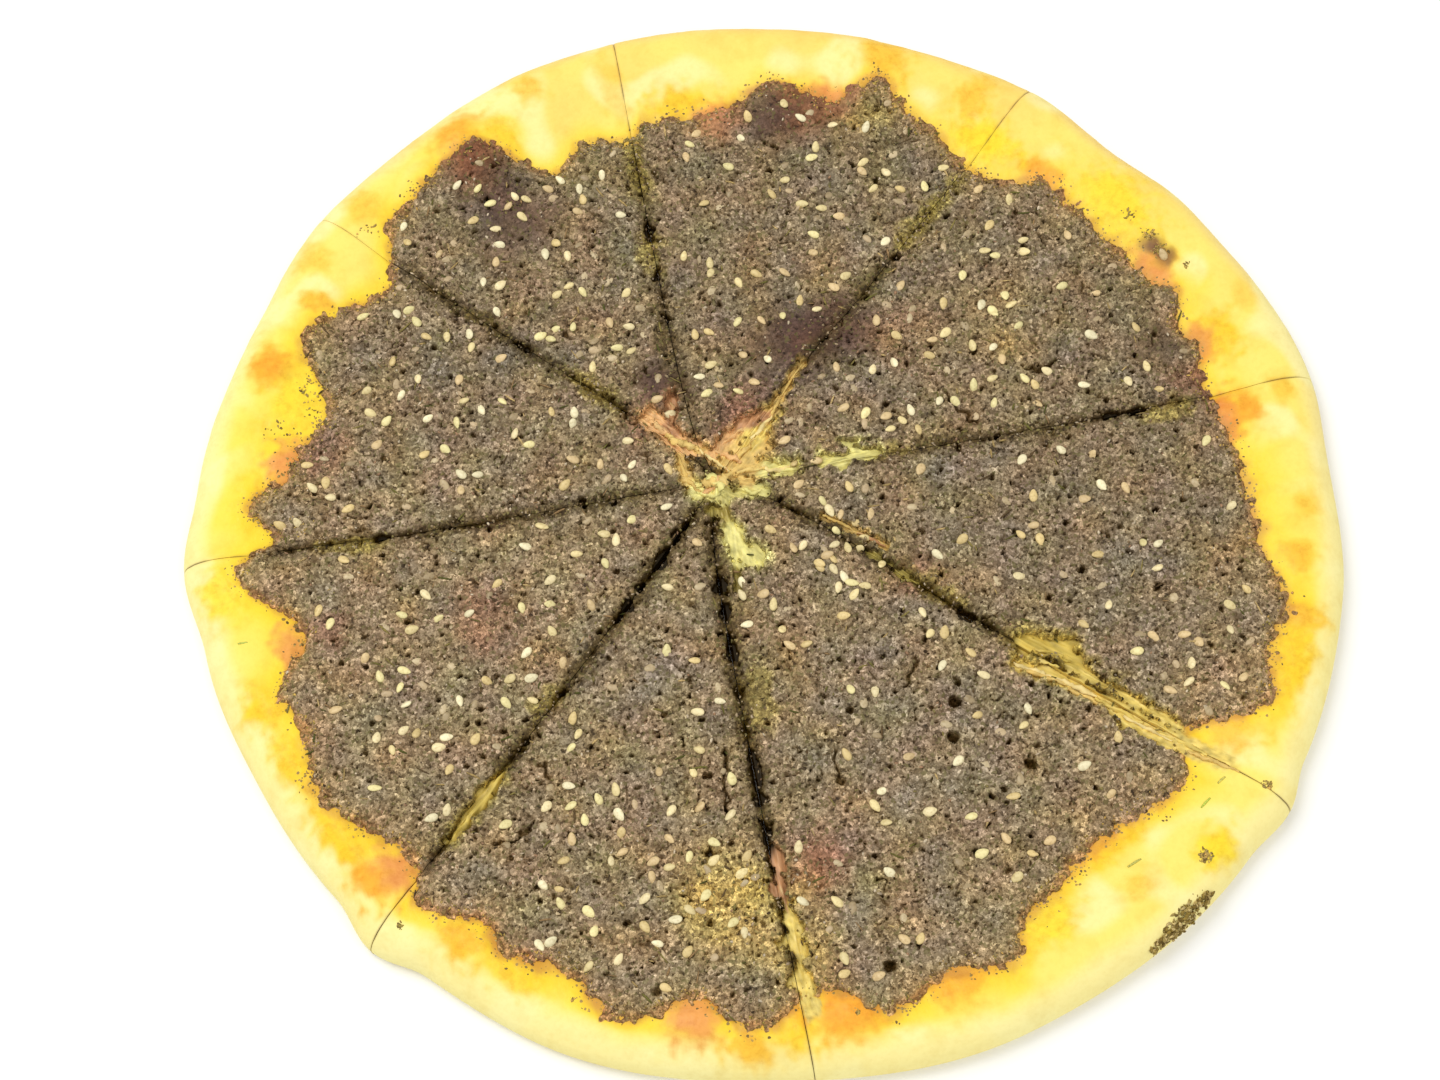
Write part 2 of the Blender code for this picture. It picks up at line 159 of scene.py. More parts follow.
def reach_of(edge):
    """A table of the distance from the hub to a closed edge, for directions all round."""
    direction = np.arange(0, 360, REACH_STEP)
    distance = around(edge, direction)
    for _ in range(REACH_ROUNDS):
        from_middle = HUB + rays(direction) * distance[:, None] - MIDDLE
        distance = distance - length(from_middle) + around(edge, heading(from_middle))
    return direction, distance


OUTER_REACH = reach_of(OUTER_EDGE)


def reach(table, direction):
    return np.interp(direction, table[0], table[1], period=360)


def cut_direction(cut, distance):
    """The direction from the hub to a cut, at each distance from the hub."""
    turn, number = divmod(cut, len(CUTS))
    at_rim, beside = CUTS[number]
    bend = beside / np.hypot(distance, CUT_EASING) - beside / ROUND_RADIUS
    return at_rim + 360 * turn + np.degrees(bend)


def off_cut(cut, spots):
    """How far spots lie anticlockwise of a cut, along the arc."""
    from_hub = spots - HUB
    distance = length(from_hub)
    return np.radians(turn_from(cut_direction(cut, distance), heading(from_hub))) * distance


def off_cuts(spots):
    """How far spots lie anticlockwise of each cut."""
    return np.array([off_cut(cut, spots) for cut in range(len(CUTS))])


def between(distance, near, far, fade):
    """1 between two distances from the hub, easing to 0 at both."""
    return eased(np.minimum(distance - near, far - distance) / fade)


GAP_SHARE, GAP_FADE = 0.6, 4


def opening(cut, distance):
    """Half the width of a cut at each distance from the hub."""
    cut = cut % len(CUTS)
    at_rim = eased((distance - RIM_CUT_FROM) / RIM_CUT_EASING)
    wide = INNER_HALF_CUT + (RIM_HALF_CUTS[cut] - INNER_HALF_CUT) * at_rim
    for number, near, far, width in OPEN_GAPS:
        if number == cut:
            wide = wide + GAP_SHARE * width * between(distance, near, far, GAP_FADE)
    return wide


def beside_cuts(number, spots):
    """How far spots lie from a slice's first cut and from its second, along the arc."""
    return [off_cut(number, spots), -off_cut(number + 1, spots)]


def rough(spots, size, draw):
    """Soft lumps of one size, about from -1 to 1, blended from slopes drawn on a lattice."""
    angles = np.random.default_rng(draw).uniform(0, 2 * np.pi, (LATTICE, LATTICE))
    place = spots / size + LATTICE_START
    cell = np.floor(place).astype(int)
    inner = place - cell
    blend = inner**3 * (inner * (inner * 6 - 15) + 10)
    value = 0
    for i, j in ((0, 0), (0, 1), (1, 0), (1, 1)):
        angle = angles[(cell[:, 0] + i) % LATTICE, (cell[:, 1] + j) % LATTICE]
        slope = np.cos(angle) * (inner[:, 0] - i) + np.sin(angle) * (inner[:, 1] - j)
        weight = np.abs(1 - i - blend[:, 0]) * np.abs(1 - j - blend[:, 1])
        value = value + slope * weight
    return value * ROUGH_SPAN


def layered(spots, start, *layers):
    """A start value with roughness laid over it, each layer as (most, size, draw)."""
    for most, size, draw in layers:
        start = start + most * rough(spots, size, draw)
    return start


def lumps(spots, spacing, radii, share, draw):
    """Round lumps at uneven places about a spacing apart, from 0 to 1 over each spot."""
    drawn = np.random.default_rng(draw)
    shift = drawn.uniform(0, 1, (LATTICE, LATTICE, 2))
    radius = drawn.uniform(*radii, (LATTICE, LATTICE))
    tall = drawn.uniform(*LUMP_TALLNESS, (LATTICE, LATTICE))
    tall *= drawn.random((LATTICE, LATTICE)) < share
    place = spots / spacing + LATTICE_START
    cell = np.floor(place).astype(int)
    best = np.zeros(len(spots))
    for i in (-1, 0, 1):
        for j in (-1, 0, 1):
            row, column = (cell[:, 0] + i) % LATTICE, (cell[:, 1] + j) % LATTICE
            away = length(cell + (i, j) + shift[row, column] - place) * spacing
            lump = tall[row, column] * np.clip(1 - (away / radius[row, column]) ** 2, 0, 1)
            best = np.maximum(best, lump)
    return best


def swelling(blisters, spots):
    lift = np.zeros(len(spots))
    for x, y, radius, height in blisters:
        lift += height * (1 - eased(length(spots - (x, y)) / radius))
    return lift


def strips_along(cut, side, distance):
    """The strips torn up along a cut: how open each is here, from 0 to 1, and its width."""
    for number, strip_side, near, far, width in TORN_STRIPS:
        if number == cut % len(CUTS) and strip_side == side:
            yield between(distance, near, far, min(TORN_FADE, (far - near) / 3)), width


def bread_top(number, spots, side_height=None):
    """The height of the bread's top at spots of a slice."""
    from_hub = spots - HUB
    distance = length(from_hub)
    inset = reach(OUTER_REACH, heading(from_hub)) - distance
    height = curved(RIM_SECTION, np.maximum(inset, 0))
    if side_height is not None:
        height = np.where(np.isnan(side_height), height, side_height)
    share = (height - RIM_SECTION[0][1]) / RIM_SECTION[-1][1]
    wave = np.array([noise.noise(Vector((x, y, 0)) / RIM_WAVE_LENGTH) for x, y in spots])
    wave *= eased(inset / RIM_WAVE_FADE) * eased(share) * (inset < RIM_SECTION[-2][0])
    height = height + RIM_WAVE * wave + swelling(RIM_BLISTERS, spots) * eased(inset / BLISTER_FADE)
    for (cut, side), beside in zip(((number, 1), (number + 1, -1)), beside_cuts(number, spots)):
        for share, width in strips_along(cut, side, distance):
            height += TORN_LIFT * share * (1 - eased(beside / width))
    return height + TORN_LIFT * (1 - eased(distance / BARE_TIPS[number]))


def tone(red, green, blue):
    """A color as seen, each part from 0 to 255, as the light that the shader works in."""
    parts = np.array((red, green, blue)) / 255
    return np.where(parts <= 0.04045, parts / 12.92, ((parts + 0.055) / 1.055) ** 2.4)


def tones(**seen):
    return {name: tone(*parts) for name, parts in seen.items()}


def tone_list(*seen):
    return [tone(*parts) for parts in seen]


DOUGH_TONES = tones(
    cream=(252, 237, 156), buff=(247, 208, 130), white=(253, 242, 168), wheat=(251, 216, 112),
    pale=(252, 231, 116), oiled=(251, 221, 54), deep=(248, 205, 42), gold=(247, 190, 54),
    orange=(247, 168, 48), salmon=(236, 154, 80), ember=(234, 142, 54), rust=(184, 116, 76),
    brown=(118, 80, 62), singed=(206, 144, 62),
)
# What the oven did to the rim, as (direction, distance from the middle, half its width, half its
# depth, tone, how strong).
OVEN_SPOTS = (
    (6, 116, 8, 6, "ember", 1.0), (6.5, 121.5, 7, 4, "orange", 0.9), (7, 130.5, 4, 4, "gold", 0.6),
    (16, 121, 7, 6, "deep", 1.0), (16, 117, 7, 5, "ember", 0.8), (19, 132, 6, 5, "gold", 0.3),
    (27.4, 118, 10, 5.5, "salmon", 1.0), (28.8, 120.5, 7, 3, "brown", 1.0),
    (37, 121, 14, 10, "oiled", 0.9), (46, 116, 8, 4, "orange", 0.9), (55, 116, 12, 7, "oiled", 1.0),
    (58.5, 126, 5, 9, "gold", 0.7), (70, 130, 9, 8, "gold", 0.75), (69, 121, 6, 6, "gold", 0.6),
    (76, 116, 8, 5, "salmon", 1.0), (83, 116.5, 9, 3, "rust", 0.7),
    (91, 111, 8, 5.5, "salmon", 1.0), (95, 116, 9, 5, "deep", 0.9),
    (102.5, 122, 4, 14, "gold", 0.35), (111.5, 132, 5, 6, "gold", 0.7),
    (117, 122, 4, 8, "deep", 0.8), (121.5, 130, 9, 6, "orange", 0.75),
    (135.5, 130, 6, 6, "gold", 0.6), (143.5, 131, 5, 6, "gold", 0.5),
    (148, 124, 4, 6, "gold", 0.95), (157.5, 127, 7, 7, "orange", 1.0),
    (161, 117, 12, 8, "oiled", 1.0), (169.5, 114.5, 10, 9, "salmon", 1.0),
    (174, 119, 7, 8, "deep", 0.7), (185, 130, 8, 6, "oiled", 0.9), (193, 116, 9, 5, "salmon", 0.9),
    (198.5, 126.5, 7, 6, "deep", 1.0), (206, 126, 10, 4, "deep", 0.9),
    (215, 126, 14, 5, "deep", 1.0), (222, 123, 8, 8, "salmon", 1.0),
    (221, 128, 7, 4, "orange", 0.8), (232.5, 125, 6, 6, "gold", 1.0),
    (239, 126, 10, 4, "deep", 0.8), (258, 124, 9, 7, "salmon", 0.95), (264, 130, 6, 5, "gold", 0.9),
    (268.5, 128, 5, 5, "deep", 0.8), (273.5, 123, 11, 8, "orange", 1.0),
    (285.5, 123, 9, 8, "orange", 0.75), (293, 122, 7, 5, "gold", 0.4),
    (297, 121, 8, 6, "oiled", 0.9), (311, 115, 24, 5, "deep", 0.9),
    (307, 114, 10, 3, "orange", 0.6), (307, 126.5, 5, 4, "gold", 0.5),
    (315, 133.5, 6, 5, "oiled", 1.0), (327, 123, 8, 6, "gold", 0.7),
    (336, 129.5, 15, 7, "deep", 1.0), (341.5, 130, 4, 6, "gold", 1.0),
    (348, 128, 5, 5, "gold", 0.9), (354, 130, 5, 4, "gold", 0.6),
)

# Torn and oil-soaked dough that shows where the topping came away with the wheel: lines near
# the hub, as (from, to, half its width, tone), and patches along the cuts, as (cut, how far its
# middle is off the cut, near, far, half its width, tone).
BARE_TONES = tones(
    cream=(238, 216, 148), pale_green=(230, 220, 138), olive_yellow=(206, 180, 86),
    moss=(164, 146, 70), olive=(92, 76, 34), soaked=(70, 56, 24), golden=(226, 192, 112),
    straw=(228, 202, 108), peach=(230, 182, 122), rusty=(192, 142, 98), char=(42, 32, 14),
)
BARE_LINES = (
    ((-24, 26), (-18, 18.8), 3.0, "peach"), ((-18, 18.8), (-13, 16), 2.8, "peach"),
    ((-18.2, 31), (-18.6, 22), 1.8, "rusty"), ((-12.5, 16.2), (-5, 8), 1.2, "golden"),
    ((-17.2, 14), (-16, 8), 1.6, "golden"), ((-16, 8), (-13.3, 4.8), 1.9, "golden"),
    ((-13, 4.6), (-8, 3.2), 3.2, "pale_green"), ((-10.4, -0.6), (-8, -2), 1.8, "moss"),
    ((-7.4, -1.5), (-6.6, -6), 1.4, "moss"), ((-6.2, -7), (-5, -13), 3.0, "pale_green"),
    ((-4.6, -13.2), (-0.8, -13.8), 3.2, "pale_green"), ((-5.8, -17), (-6.5, -22), 1.0, "moss"),
    ((-3, 3.6), (1.4, 3.2), 2.2, "pale_green"), ((-5, 7.4), (-1, 6), 1.5, "golden"),
    ((-8, 14.4), (0, 21), 2.6, "peach"), ((-4, 10.6), (2, 16.6), 4.4, "golden"),
    ((0.4, 17), (6.6, 24.6), 2.5, "straw"), ((6.6, 24.6), (8.8, 28), 1.4, "golden"),
    ((-3.6, 9.8), (4, 9.4), 3.0, "golden"), ((4, 8.8), (10, 8.8), 2.4, "pale_green"),
    ((-2, 22), (5, 23.4), 1.7, "rusty"), ((15.6, -5), (22, -8.8), 0.8, "golden"),
    ((22, -8.8), (30, -14), 1.1, "golden"), ((8.8, 28), (15, 37), 1.1, "golden"),
    ((60.5, -42), (69, -43), 3.4, "olive_yellow"), ((69, -43.4), (71.4, -49), 2.6, "olive_yellow"),
    ((57.4, -46.4), (67, -51), 2.2, "straw"), ((67, -51), (71.6, -54.4), 2.2, "straw"),
    ((71.6, -54.4), (79.6, -60.2), 1.8, "straw"), ((79.6, -60.2), (93.5, -71), 1.9, "straw"),
    ((93.5, -71), (101, -76), 2.0, "straw"), ((84, -60), (92, -66), 1.5, "olive_yellow"),
)
BARE_PATCHES = (
    (0, 1.4, 27, 39, 3.0, "pale_green"), (5, 0.2, 90, 106, 1.8, "olive_yellow"),
    (6, 1.2, 104, 130, 2.2, "straw"), (6, 1.2, 93, 104, 1.6, "rusty"),
    (7, 0.4, 41, 53, 1.0, "moss"), (7, 2.6, 100, 122, 1.4, "straw"),
    (7, -2.4, 110, 124, 1.4, "straw"),
)
# Crust that is soaked yellow or olive along the cuts, but still lies there.
SOAKED_PATCHES = (
    (0, 0.4, 38, 46, 1.8, "moss"), (0, 1, 51, 65, 2.2, "olive"), (0, -0.4, 78, 89, 2.3, "olive"),
    (0, -2, 106, 117, 3.0, "moss"), (1, 0, 60, 73, 2.8, "olive"), (1, 0.5, 79, 93, 3.0, "moss"),
    (1, -0.6, 93, 105, 2.8, "moss"), (2, 2.4, 34, 49, 2.4, "olive"), (2, 0.5, 61, 71, 3.4, "moss"),
    (2, 0, 83, 104, 3.2, "moss"), (3, 0, 34, 47, 3.4, "moss"), (3, 0, 67, 79, 1.8, "olive"),
    (4, 0.6, 83, 96, 2.4, "moss"), (4, 0.3, 61, 71, 2.2, "olive"), (5, 0.2, 86, 108, 3.0, "moss"),
    (5, -0.6, 72, 88, 2.6, "olive"), (5, -1.8, 64, 72, 2.8, "moss"), (6, 4.2, 48, 62, 5.0, "moss"),
    (7, 1.4, 52, 66, 3.0, "moss"), (6, 0.5, 16, 60, 4.4, "olive"), (5, 0, 8, 60, 3.2, "olive"),
    (6, 0.5, 62, 92, 2.6, "olive"), (7, 1, 10, 60, 2.4, "olive"), (7, 1.5, 80, 118, 4.4, "moss"),
    (4, 0, 20, 60, 2.4, "olive"), (3, 0, 48, 90, 2.4, "olive"),
)


def near_line(spots, start, end, width):
    """How near spots lie to a line: 1 on it, easing to 0 at its half width."""
    run = np.subtract(end, start).astype(float)
    share = np.clip((spots - start) @ run / (run @ run), 0, 1)
    return eased(1 - length(spots - start - share[:, None] * run) / width)


def warped(spots, size, most, draw):
    """Spots moved a little, so that what is drawn at them has an uneven outline."""
    return spots + most * np.stack([rough(spots, size, draw), rough(spots, size, draw + 1)], -1)


# How deep the yellow of the oil goes from the topping, and how wide the cream band of the side
# is, as (direction, size).
OIL_DEPTH = (
    (0, 13), (20, 11), (38, 10), (55, 7), (75, 6), (95, 7), (110, 7), (125, 10), (143, 8), (152, 10),
    (165, 26), (180, 19), (200, 14), (225, 14), (240, 13), (255, 16), (270, 14), (285, 11),
    (300, 8), (312, 7), (325, 12), (340, 15), (352, 14),
)
DEEP_OIL = (
    (0, 0.7), (20, 0.6), (45, 0.5), (60, 0.3), (90, 0.5), (110, 0.4), (125, 0.7), (145, 0.5),
    (165, 0.3), (180, 0.4), (195, 0.3), (210, 0.4), (240, 0.9), (275, 0.8), (295, 0.5), (310, 0.7),
    (330, 0.7), (345, 0.7),
)
CREAM_BAND = (
    (0, 5), (30, 3.5), (60, 3), (100, 3.5), (130, 5), (160, 5), (180, 6.5), (210, 8), (240, 7.5),
    (270, 6.5), (300, 6), (320, 6), (345, 6),
)
# The topping's edge, one line for each slice, as (direction, distance from the middle).
LOBES = (
    ((11, 113), (16, 116.5), (19, 114), (23, 118), (27, 114), (38, 113.5), (45, 114.5),
     (50, 108.5)),
    ((54, 107.5), (63, 114), (70, 123), (75.5, 115), (82, 118), (91, 111), (99, 112.5)),
    ((103, 108.5), (107.5, 112), (113.5, 108), (121, 125.5), (134, 122)),
    ((141.5, 111.5), (152, 122), (161, 109.5), (169, 114.5), (175, 123)),
    ((178, 117), (182.5, 125.5), (191, 112.5), (198, 122), (203, 119.5), (209.5, 124),
     (222, 117)),
    ((227, 124), (233.5, 118.5), (237, 122), (243, 120), (251, 127), (258, 119.5),
     (263.5, 125.5)),
    ((272, 117.5), (278, 125), (286, 120.5), (291.5, 124.5), (296, 116), (307, 113),
     (320, 119)),
    ((323.5, 113), (332, 127.5), (338, 124.5), (342, 127), (350, 119), (356, 117)),
)
TOPPING_EDGE = tuple(pair for lobes in LOBES for pair in lobes)
TOPPING_REACH = reach_of(TOPPING_EDGE)


def inside_topping(spots):
    """How far spots lie inside the topping's edge."""
    from_hub = spots - HUB
    return reach(TOPPING_REACH, heading(from_hub)) - length(from_hub)


def painted(colors, mask, color):
    return colors + (color - colors) * np.clip(mask, 0, 1)[:, None]


def painted_over(colors, layers):
    """Colors with layers of (mask, color) painted over them in turn."""
    for mask, color in layers:
        colors = painted(colors, mask, color)
    return colors


OVEN_RAGGED = ((0.24, 6, 33), (0.26, 2.1, 46))
OVEN_SPOT_STRENGTH, OVEN_HALO_STRENGTH = 0.95, 0.5


def oven_toasting(spots):
    """How strongly each oven spot and its halo show at spots of the rim, and their tones."""
    from_middle = warped(spots, 4, 1.3, 31) - MIDDLE
    distance, direction = length(from_middle), heading(from_middle)
    ragged = layered(spots, 0.92, *OVEN_RAGGED)
    for at, far, half_width, half_depth, name, strength in OVEN_SPOTS:
        aside = np.radians(turn_from(at, direction)) * far / half_width
        away = np.hypot(aside, (distance - far) / half_depth) * ragged
        yield OVEN_HALO_STRENGTH * strength * eased(1.15 - 0.8 * away), DOUGH_TONES["deep"]
        yield OVEN_SPOT_STRENGTH * strength * eased(1.4 * (1 - away)), DOUGH_TONES[name]


PATCH_FADE = 6


def patches_along(patches, spots, swell, inner):
    """How far spots lie from each patch along a cut, in its own half widths, and its tone."""
    distance, offs = length(spots - HUB), off_cuts(spots)
    for cut, off, near, far, width, name in patches:
        over = np.maximum(near + inner - distance, distance - far + inner)
        over = np.maximum(0, over) / PATCH_FADE
        yield np.hypot((offs[cut] - off) / (width * swell), over), BARE_TONES[name]


BARE_LINE_SPREAD = 1.6


def bare_dough(spots):
    """How far the topping is gone from spots, from 0 to 1, and the tone of each such place."""
    uneven = warped(spots, 2.2, 0.8, 51) + 0.4 * np.stack([rough(spots, 0.9, 53)] * 2, -1)
    for start, end, width, name in BARE_LINES:
        yield near_line(uneven, start, end, BARE_LINE_SPREAD * width), BARE_TONES[name]
    swell = np.maximum(layered(spots, 1.25, (1.3, 4.4, 54)), 0.3)
    for away, color in patches_along(BARE_PATCHES, uneven, swell, 2):
        yield 1.1 * eased(1.5 * (1 - away)), color


def soaked_crust(spots):
    """How soaked the crust is at spots beside the cuts, and the tone of each such place."""
    uneven, swell = warped(spots, 3, 1.4, 92), layered(spots, 1, (0.8, 5, 93))
    for away, color in patches_along(SOAKED_PATCHES, uneven, swell, 3):
        yield eased(1.3 - away), color


def bareness(spots):
    """How far the topping is gone, with crumbs of it left here and there."""
    bare = np.max([mask for mask, _ in bare_dough(spots)], 0)
    left = 0.9 * lumps(spots, 1.5, (0.4, 0.9), 0.6, 55)
    left = layered(spots, left, (0.9, 2.6, 56), (0.5, 1.2, 60)) + 0.15
    return np.clip(bare - left * (1.3 - bare), 0, 1) * eased(4 * bare - 0.4)


FIBRE_LENGTH, FIBRE_WIDTH = 5.5, 0.55


def fibres(spots):
    """Torn strings of dough that run along the cuts, about from -1 to 1."""
    offs = off_cuts(spots)
    nearest = np.abs(offs).argmin(0)
    across = layered(spots, offs[nearest, np.arange(len(spots))], (0.35, 4, 57))
    along = length(spots - HUB) / FIBRE_LENGTH
    strings = np.stack([along, across / FIBRE_WIDTH + 9 * nearest], -1)
    return 0.7 * rough(strings, 1, 58) + 0.3 * rough(spots, 0.8, 59)


# The far side, away from the camera, is painted a little browner.
FAR_DIRECTION, FAR_SPREAD = 75, 95


def dough_colors(spots):
    """The color of the baked dough at spots of its top, and how oily it is."""
    from_middle, from_hub, offs = spots - MIDDLE, length(spots - HUB), off_cuts(spots)
    direction = heading(from_middle)
    inset = around(OUTER_EDGE, direction) - length(from_middle)
    beyond = -inside_topping(warped(spots, 8, 1.5, 35))
    band = layered(spots, around(CREAM_BAND, direction), (1.2, 12, 34))
    far_side = eased(1 - np.abs(turn_from(FAR_DIRECTION, direction)) / FAR_SPREAD)
    oil = eased(1.15 - beyond / around(OIL_DEPTH, direction)) * eased((inset - band) / 3)
    patchy = layered(spots, around(DEEP_OIL, direction), (0.4, 9, 37))
    bland = 0.7 * eased((rough(spots, 14, 39) - 0.05) / 0.4) * (1 - oil)
    crisped = eased(1 - (beyond + 1.2 * rough(spots, 3, 38)) / 2.8)
    # Painted shade: a thin brown line beside each cut on the rim, where the slit lies in shade.
    cut_line_shade = eased(1 - np.abs(offs).min(0) / 0.5) * eased(0.6 + rough(spots, 5, 47))
    colors = painted_over(np.tile(DOUGH_TONES["cream"], (len(spots), 1)), (
        (far_side * eased(1 - (inset - 3) / 5), DOUGH_TONES["buff"]),
        (eased((inset - band + 3) / 6), DOUGH_TONES["pale"]),
        (0.6 * far_side * (1 + rough(spots, 16, 36)), DOUGH_TONES["wheat"]),
        ((1 - 0.35 * far_side) * oil, DOUGH_TONES["oiled"]),
        (patchy * oil * eased(1 - beyond / 6), DOUGH_TONES["deep"]),
        (bland, DOUGH_TONES["white"]),
    ))
    colors = painted_over(painted_over(colors, oven_toasting(spots)), (
        ((0.3 + 0.5 * patchy) * crisped, DOUGH_TONES["singed"]),
        (0.5 * cut_line_shade * eased(beyond / 4), DOUGH_TONES["brown"]),
        (0.95 * eased((inside_topping(spots) - 1) / 2), BARE_TONES["soaked"]),
    ))
    strings = fibres(spots)
    shade = layered(spots, 1 + 0.25 * strings, (0.22, 2.6, 40), (0.3, 1.1, 62))[:, None]
    for mask, color in bare_dough(spots):
        colors = painted(colors, 2.2 * mask, color * shade)
    pale_strings = 0.6 * eased((strings - 0.35) / 0.4) * bareness(spots)
    colors = painted(colors, pale_strings, BARE_TONES["cream"])
    # Where slices were pulled apart the dough is painted near black: oil-soaked dough, with painted
    # shade for the deep gap.
    for cut, near, far, width in OPEN_GAPS:
        mask = eased(1.2 - np.abs(offs[cut]) / (2.2 * width)) * between(from_hub, near, far, 5)
        colors = painted(colors, 2.5 * mask, BARE_TONES["char"])
        oil = oil * (1 - np.clip(2 * mask, 0, 1))
    return np.clip(colors, 0, 1), np.clip(oil, 0, 1)


def set_attribute(thing, name, kind, values):
    found = thing.data.attributes.new(name, kind, "POINT")
    key = "color" if kind == "FLOAT_COLOR" else "value"
    found.data.foreach_set(key, np.ascontiguousarray(values, np.float32).ravel())


def set_tint(thing, colors):
    set_attribute(thing, "tint", "FLOAT_COLOR", np.column_stack([colors, np.ones(len(colors))]))


def set_places(thing, places):
    thing.data.vertices.foreach_set("co", (places * MM).astype(np.float32).ravel())
    thing.data.update()


def places_of(thing):
    found = np.empty(len(thing.data.vertices) * 3)
    thing.data.vertices.foreach_get("co", found)
    return found.reshape(-1, 3)


def select_only(thing):
    if bpy.context.mode != "OBJECT":
        bpy.ops.object.mode_set(mode="OBJECT")
    bpy.ops.object.select_all(action="DESELECT")
    thing.select_set(True)
    bpy.context.view_layer.objects.active = thing


def pick_points(thing, picked):
    """Leaves just these points of a mesh selected, with the mesh in edit mode."""
    select_only(thing)
    bpy.ops.object.mode_set(mode="EDIT")
    bpy.ops.mesh.select_mode(type="VERT")
    bpy.ops.mesh.select_all(action="DESELECT")
    bpy.ops.object.mode_set(mode="OBJECT")
    thing.data.vertices.foreach_set("select", picked)
    bpy.ops.object.mode_set(mode="EDIT")


def close_below(thing, floor):
    """Draws an open sheet's border down to a flat floor and closes it there."""
    pick_points(thing, np.zeros(len(thing.data.vertices), bool))
    bpy.ops.mesh.select_non_manifold(
        extend=False, use_wire=False, use_multi_face=False, use_non_contiguous=False,
        use_verts=False,
    )
    bpy.ops.mesh.extrude_region_move()
    bpy.ops.object.mode_set(mode="OBJECT")
    picked = np.zeros(len(thing.data.vertices), bool)
    thing.data.vertices.foreach_get("select", picked)
    places = places_of(thing)
    places[picked, 2] = floor * MM
    set_places(thing, places / MM)
    bpy.ops.object.mode_set(mode="EDIT")
    bpy.ops.mesh.edge_face_add()
    bpy.ops.mesh.select_all(action="SELECT")
    bpy.ops.mesh.remove_doubles(threshold=0.01 * MM)
    bpy.ops.mesh.dissolve_degenerate(threshold=0.001 * MM)
    bpy.ops.mesh.normals_make_consistent(inside=False)
    bpy.ops.object.mode_set(mode="OBJECT")


class Finish:
    """The nodes of one material, added and joined up in a line or two each."""

    def __init__(self, name):
        self.material = bpy.data.materials.new(name)
        self.material.use_nodes = True
        self.tree = self.material.node_tree
        self.shader = self.tree.nodes["Principled BSDF"]
        self.place = self.add("TexCoord").outputs["Object"]

    def add(self, kind, settings=(), **inputs):
        """A node, with its own settings, and with each input set or joined to an output."""
        node = self.tree.nodes.new("ShaderNode" + kind)
        for key, value in dict(settings).items():
            setattr(node, key, value)
        self.join(node, inputs)
        return node

    def join(self, node, inputs):
        """Sets each input, or joins it: named, or by its number after an underscore."""
        for key, value in inputs.items():
            socket = node.inputs[int(key[1:]) if key[1:].isdigit() else key.replace("_", " ")]
            if isinstance(value, bpy.types.NodeSocket):
                self.tree.links.new(value, socket)
            else:
                socket.default_value = value

    def attribute(self, name, output="Fac"):
        return self.add("Attribute", {"attribute_name": name}).outputs[output]

    def noise(self, scale, detail, roughness=0.5, place=None, output="Fac"):
        node = self.add("TexNoise", Scale=scale, Detail=detail, Roughness=roughness)
        self.join(node, {"Vector": place or self.place})
        return node.outputs[output]

    def moved(self, scale, detail, most):
        """The place on the piece, moved a little by a noise, for uneven outlines."""
        node = self.add("VectorMath", {"operation": "MULTIPLY_ADD"})
        shift = self.noise(scale, detail, output="Color")
        self.join(node, {"_0": shift, "_1": (most, most, most), "_2": self.place})
        return node.outputs[0]

    def cells(self, scale, place):
        """Cells of uneven size: how far off each one's middle, and its three random parts."""
        node = self.add("TexVoronoi", Vector=place, Scale=scale)
        parts = self.add("SeparateColor", Color=node.outputs["Color"]).outputs
        return node.outputs["Distance"], parts

    def ramp(self, value, *stops):
        """A ColorRamp through (place, color) stops."""
        node = self.add("ValToRGB", Fac=value)
        places = node.color_ramp.elements
        while len(places) < len(stops):
            places.new(0.5)
        for place, (at, color) in zip(places, stops):
            place.position = at
            place.color = (*color, 1)
        return node.outputs["Color"]

    def mixed(self, kind, factor, first, second):
        node = self.add("Mix", {"data_type": "RGBA", "blend_type": kind}, Factor=factor)
        self.join(node, {"_6": first, "_7": second})
        return node.outputs[2]

    def ranged(self, value, low, high, to_low, to_high):
        node = self.add("MapRange", Value=value)
        self.join(node, {"_1": low, "_2": high, "_3": to_low, "_4": to_high})
        return node.outputs[0]

    def maths(self, kind, first, second):
        node = self.add("Math", {"operation": kind})
        self.join(node, {"_0": first, "_1": second})
        return node.outputs[0]

    def bump(self, height, strength, depth):
        node = self.add("Bump", Strength=strength, Distance=depth, Height=height)
        return node.outputs["Normal"]

    def coated(self, **inputs):
        """The finished material, with its shader's inputs set or joined."""
        self.join(self.shader, inputs)
        return self.material


def grey(value):
    return (value, value, value)


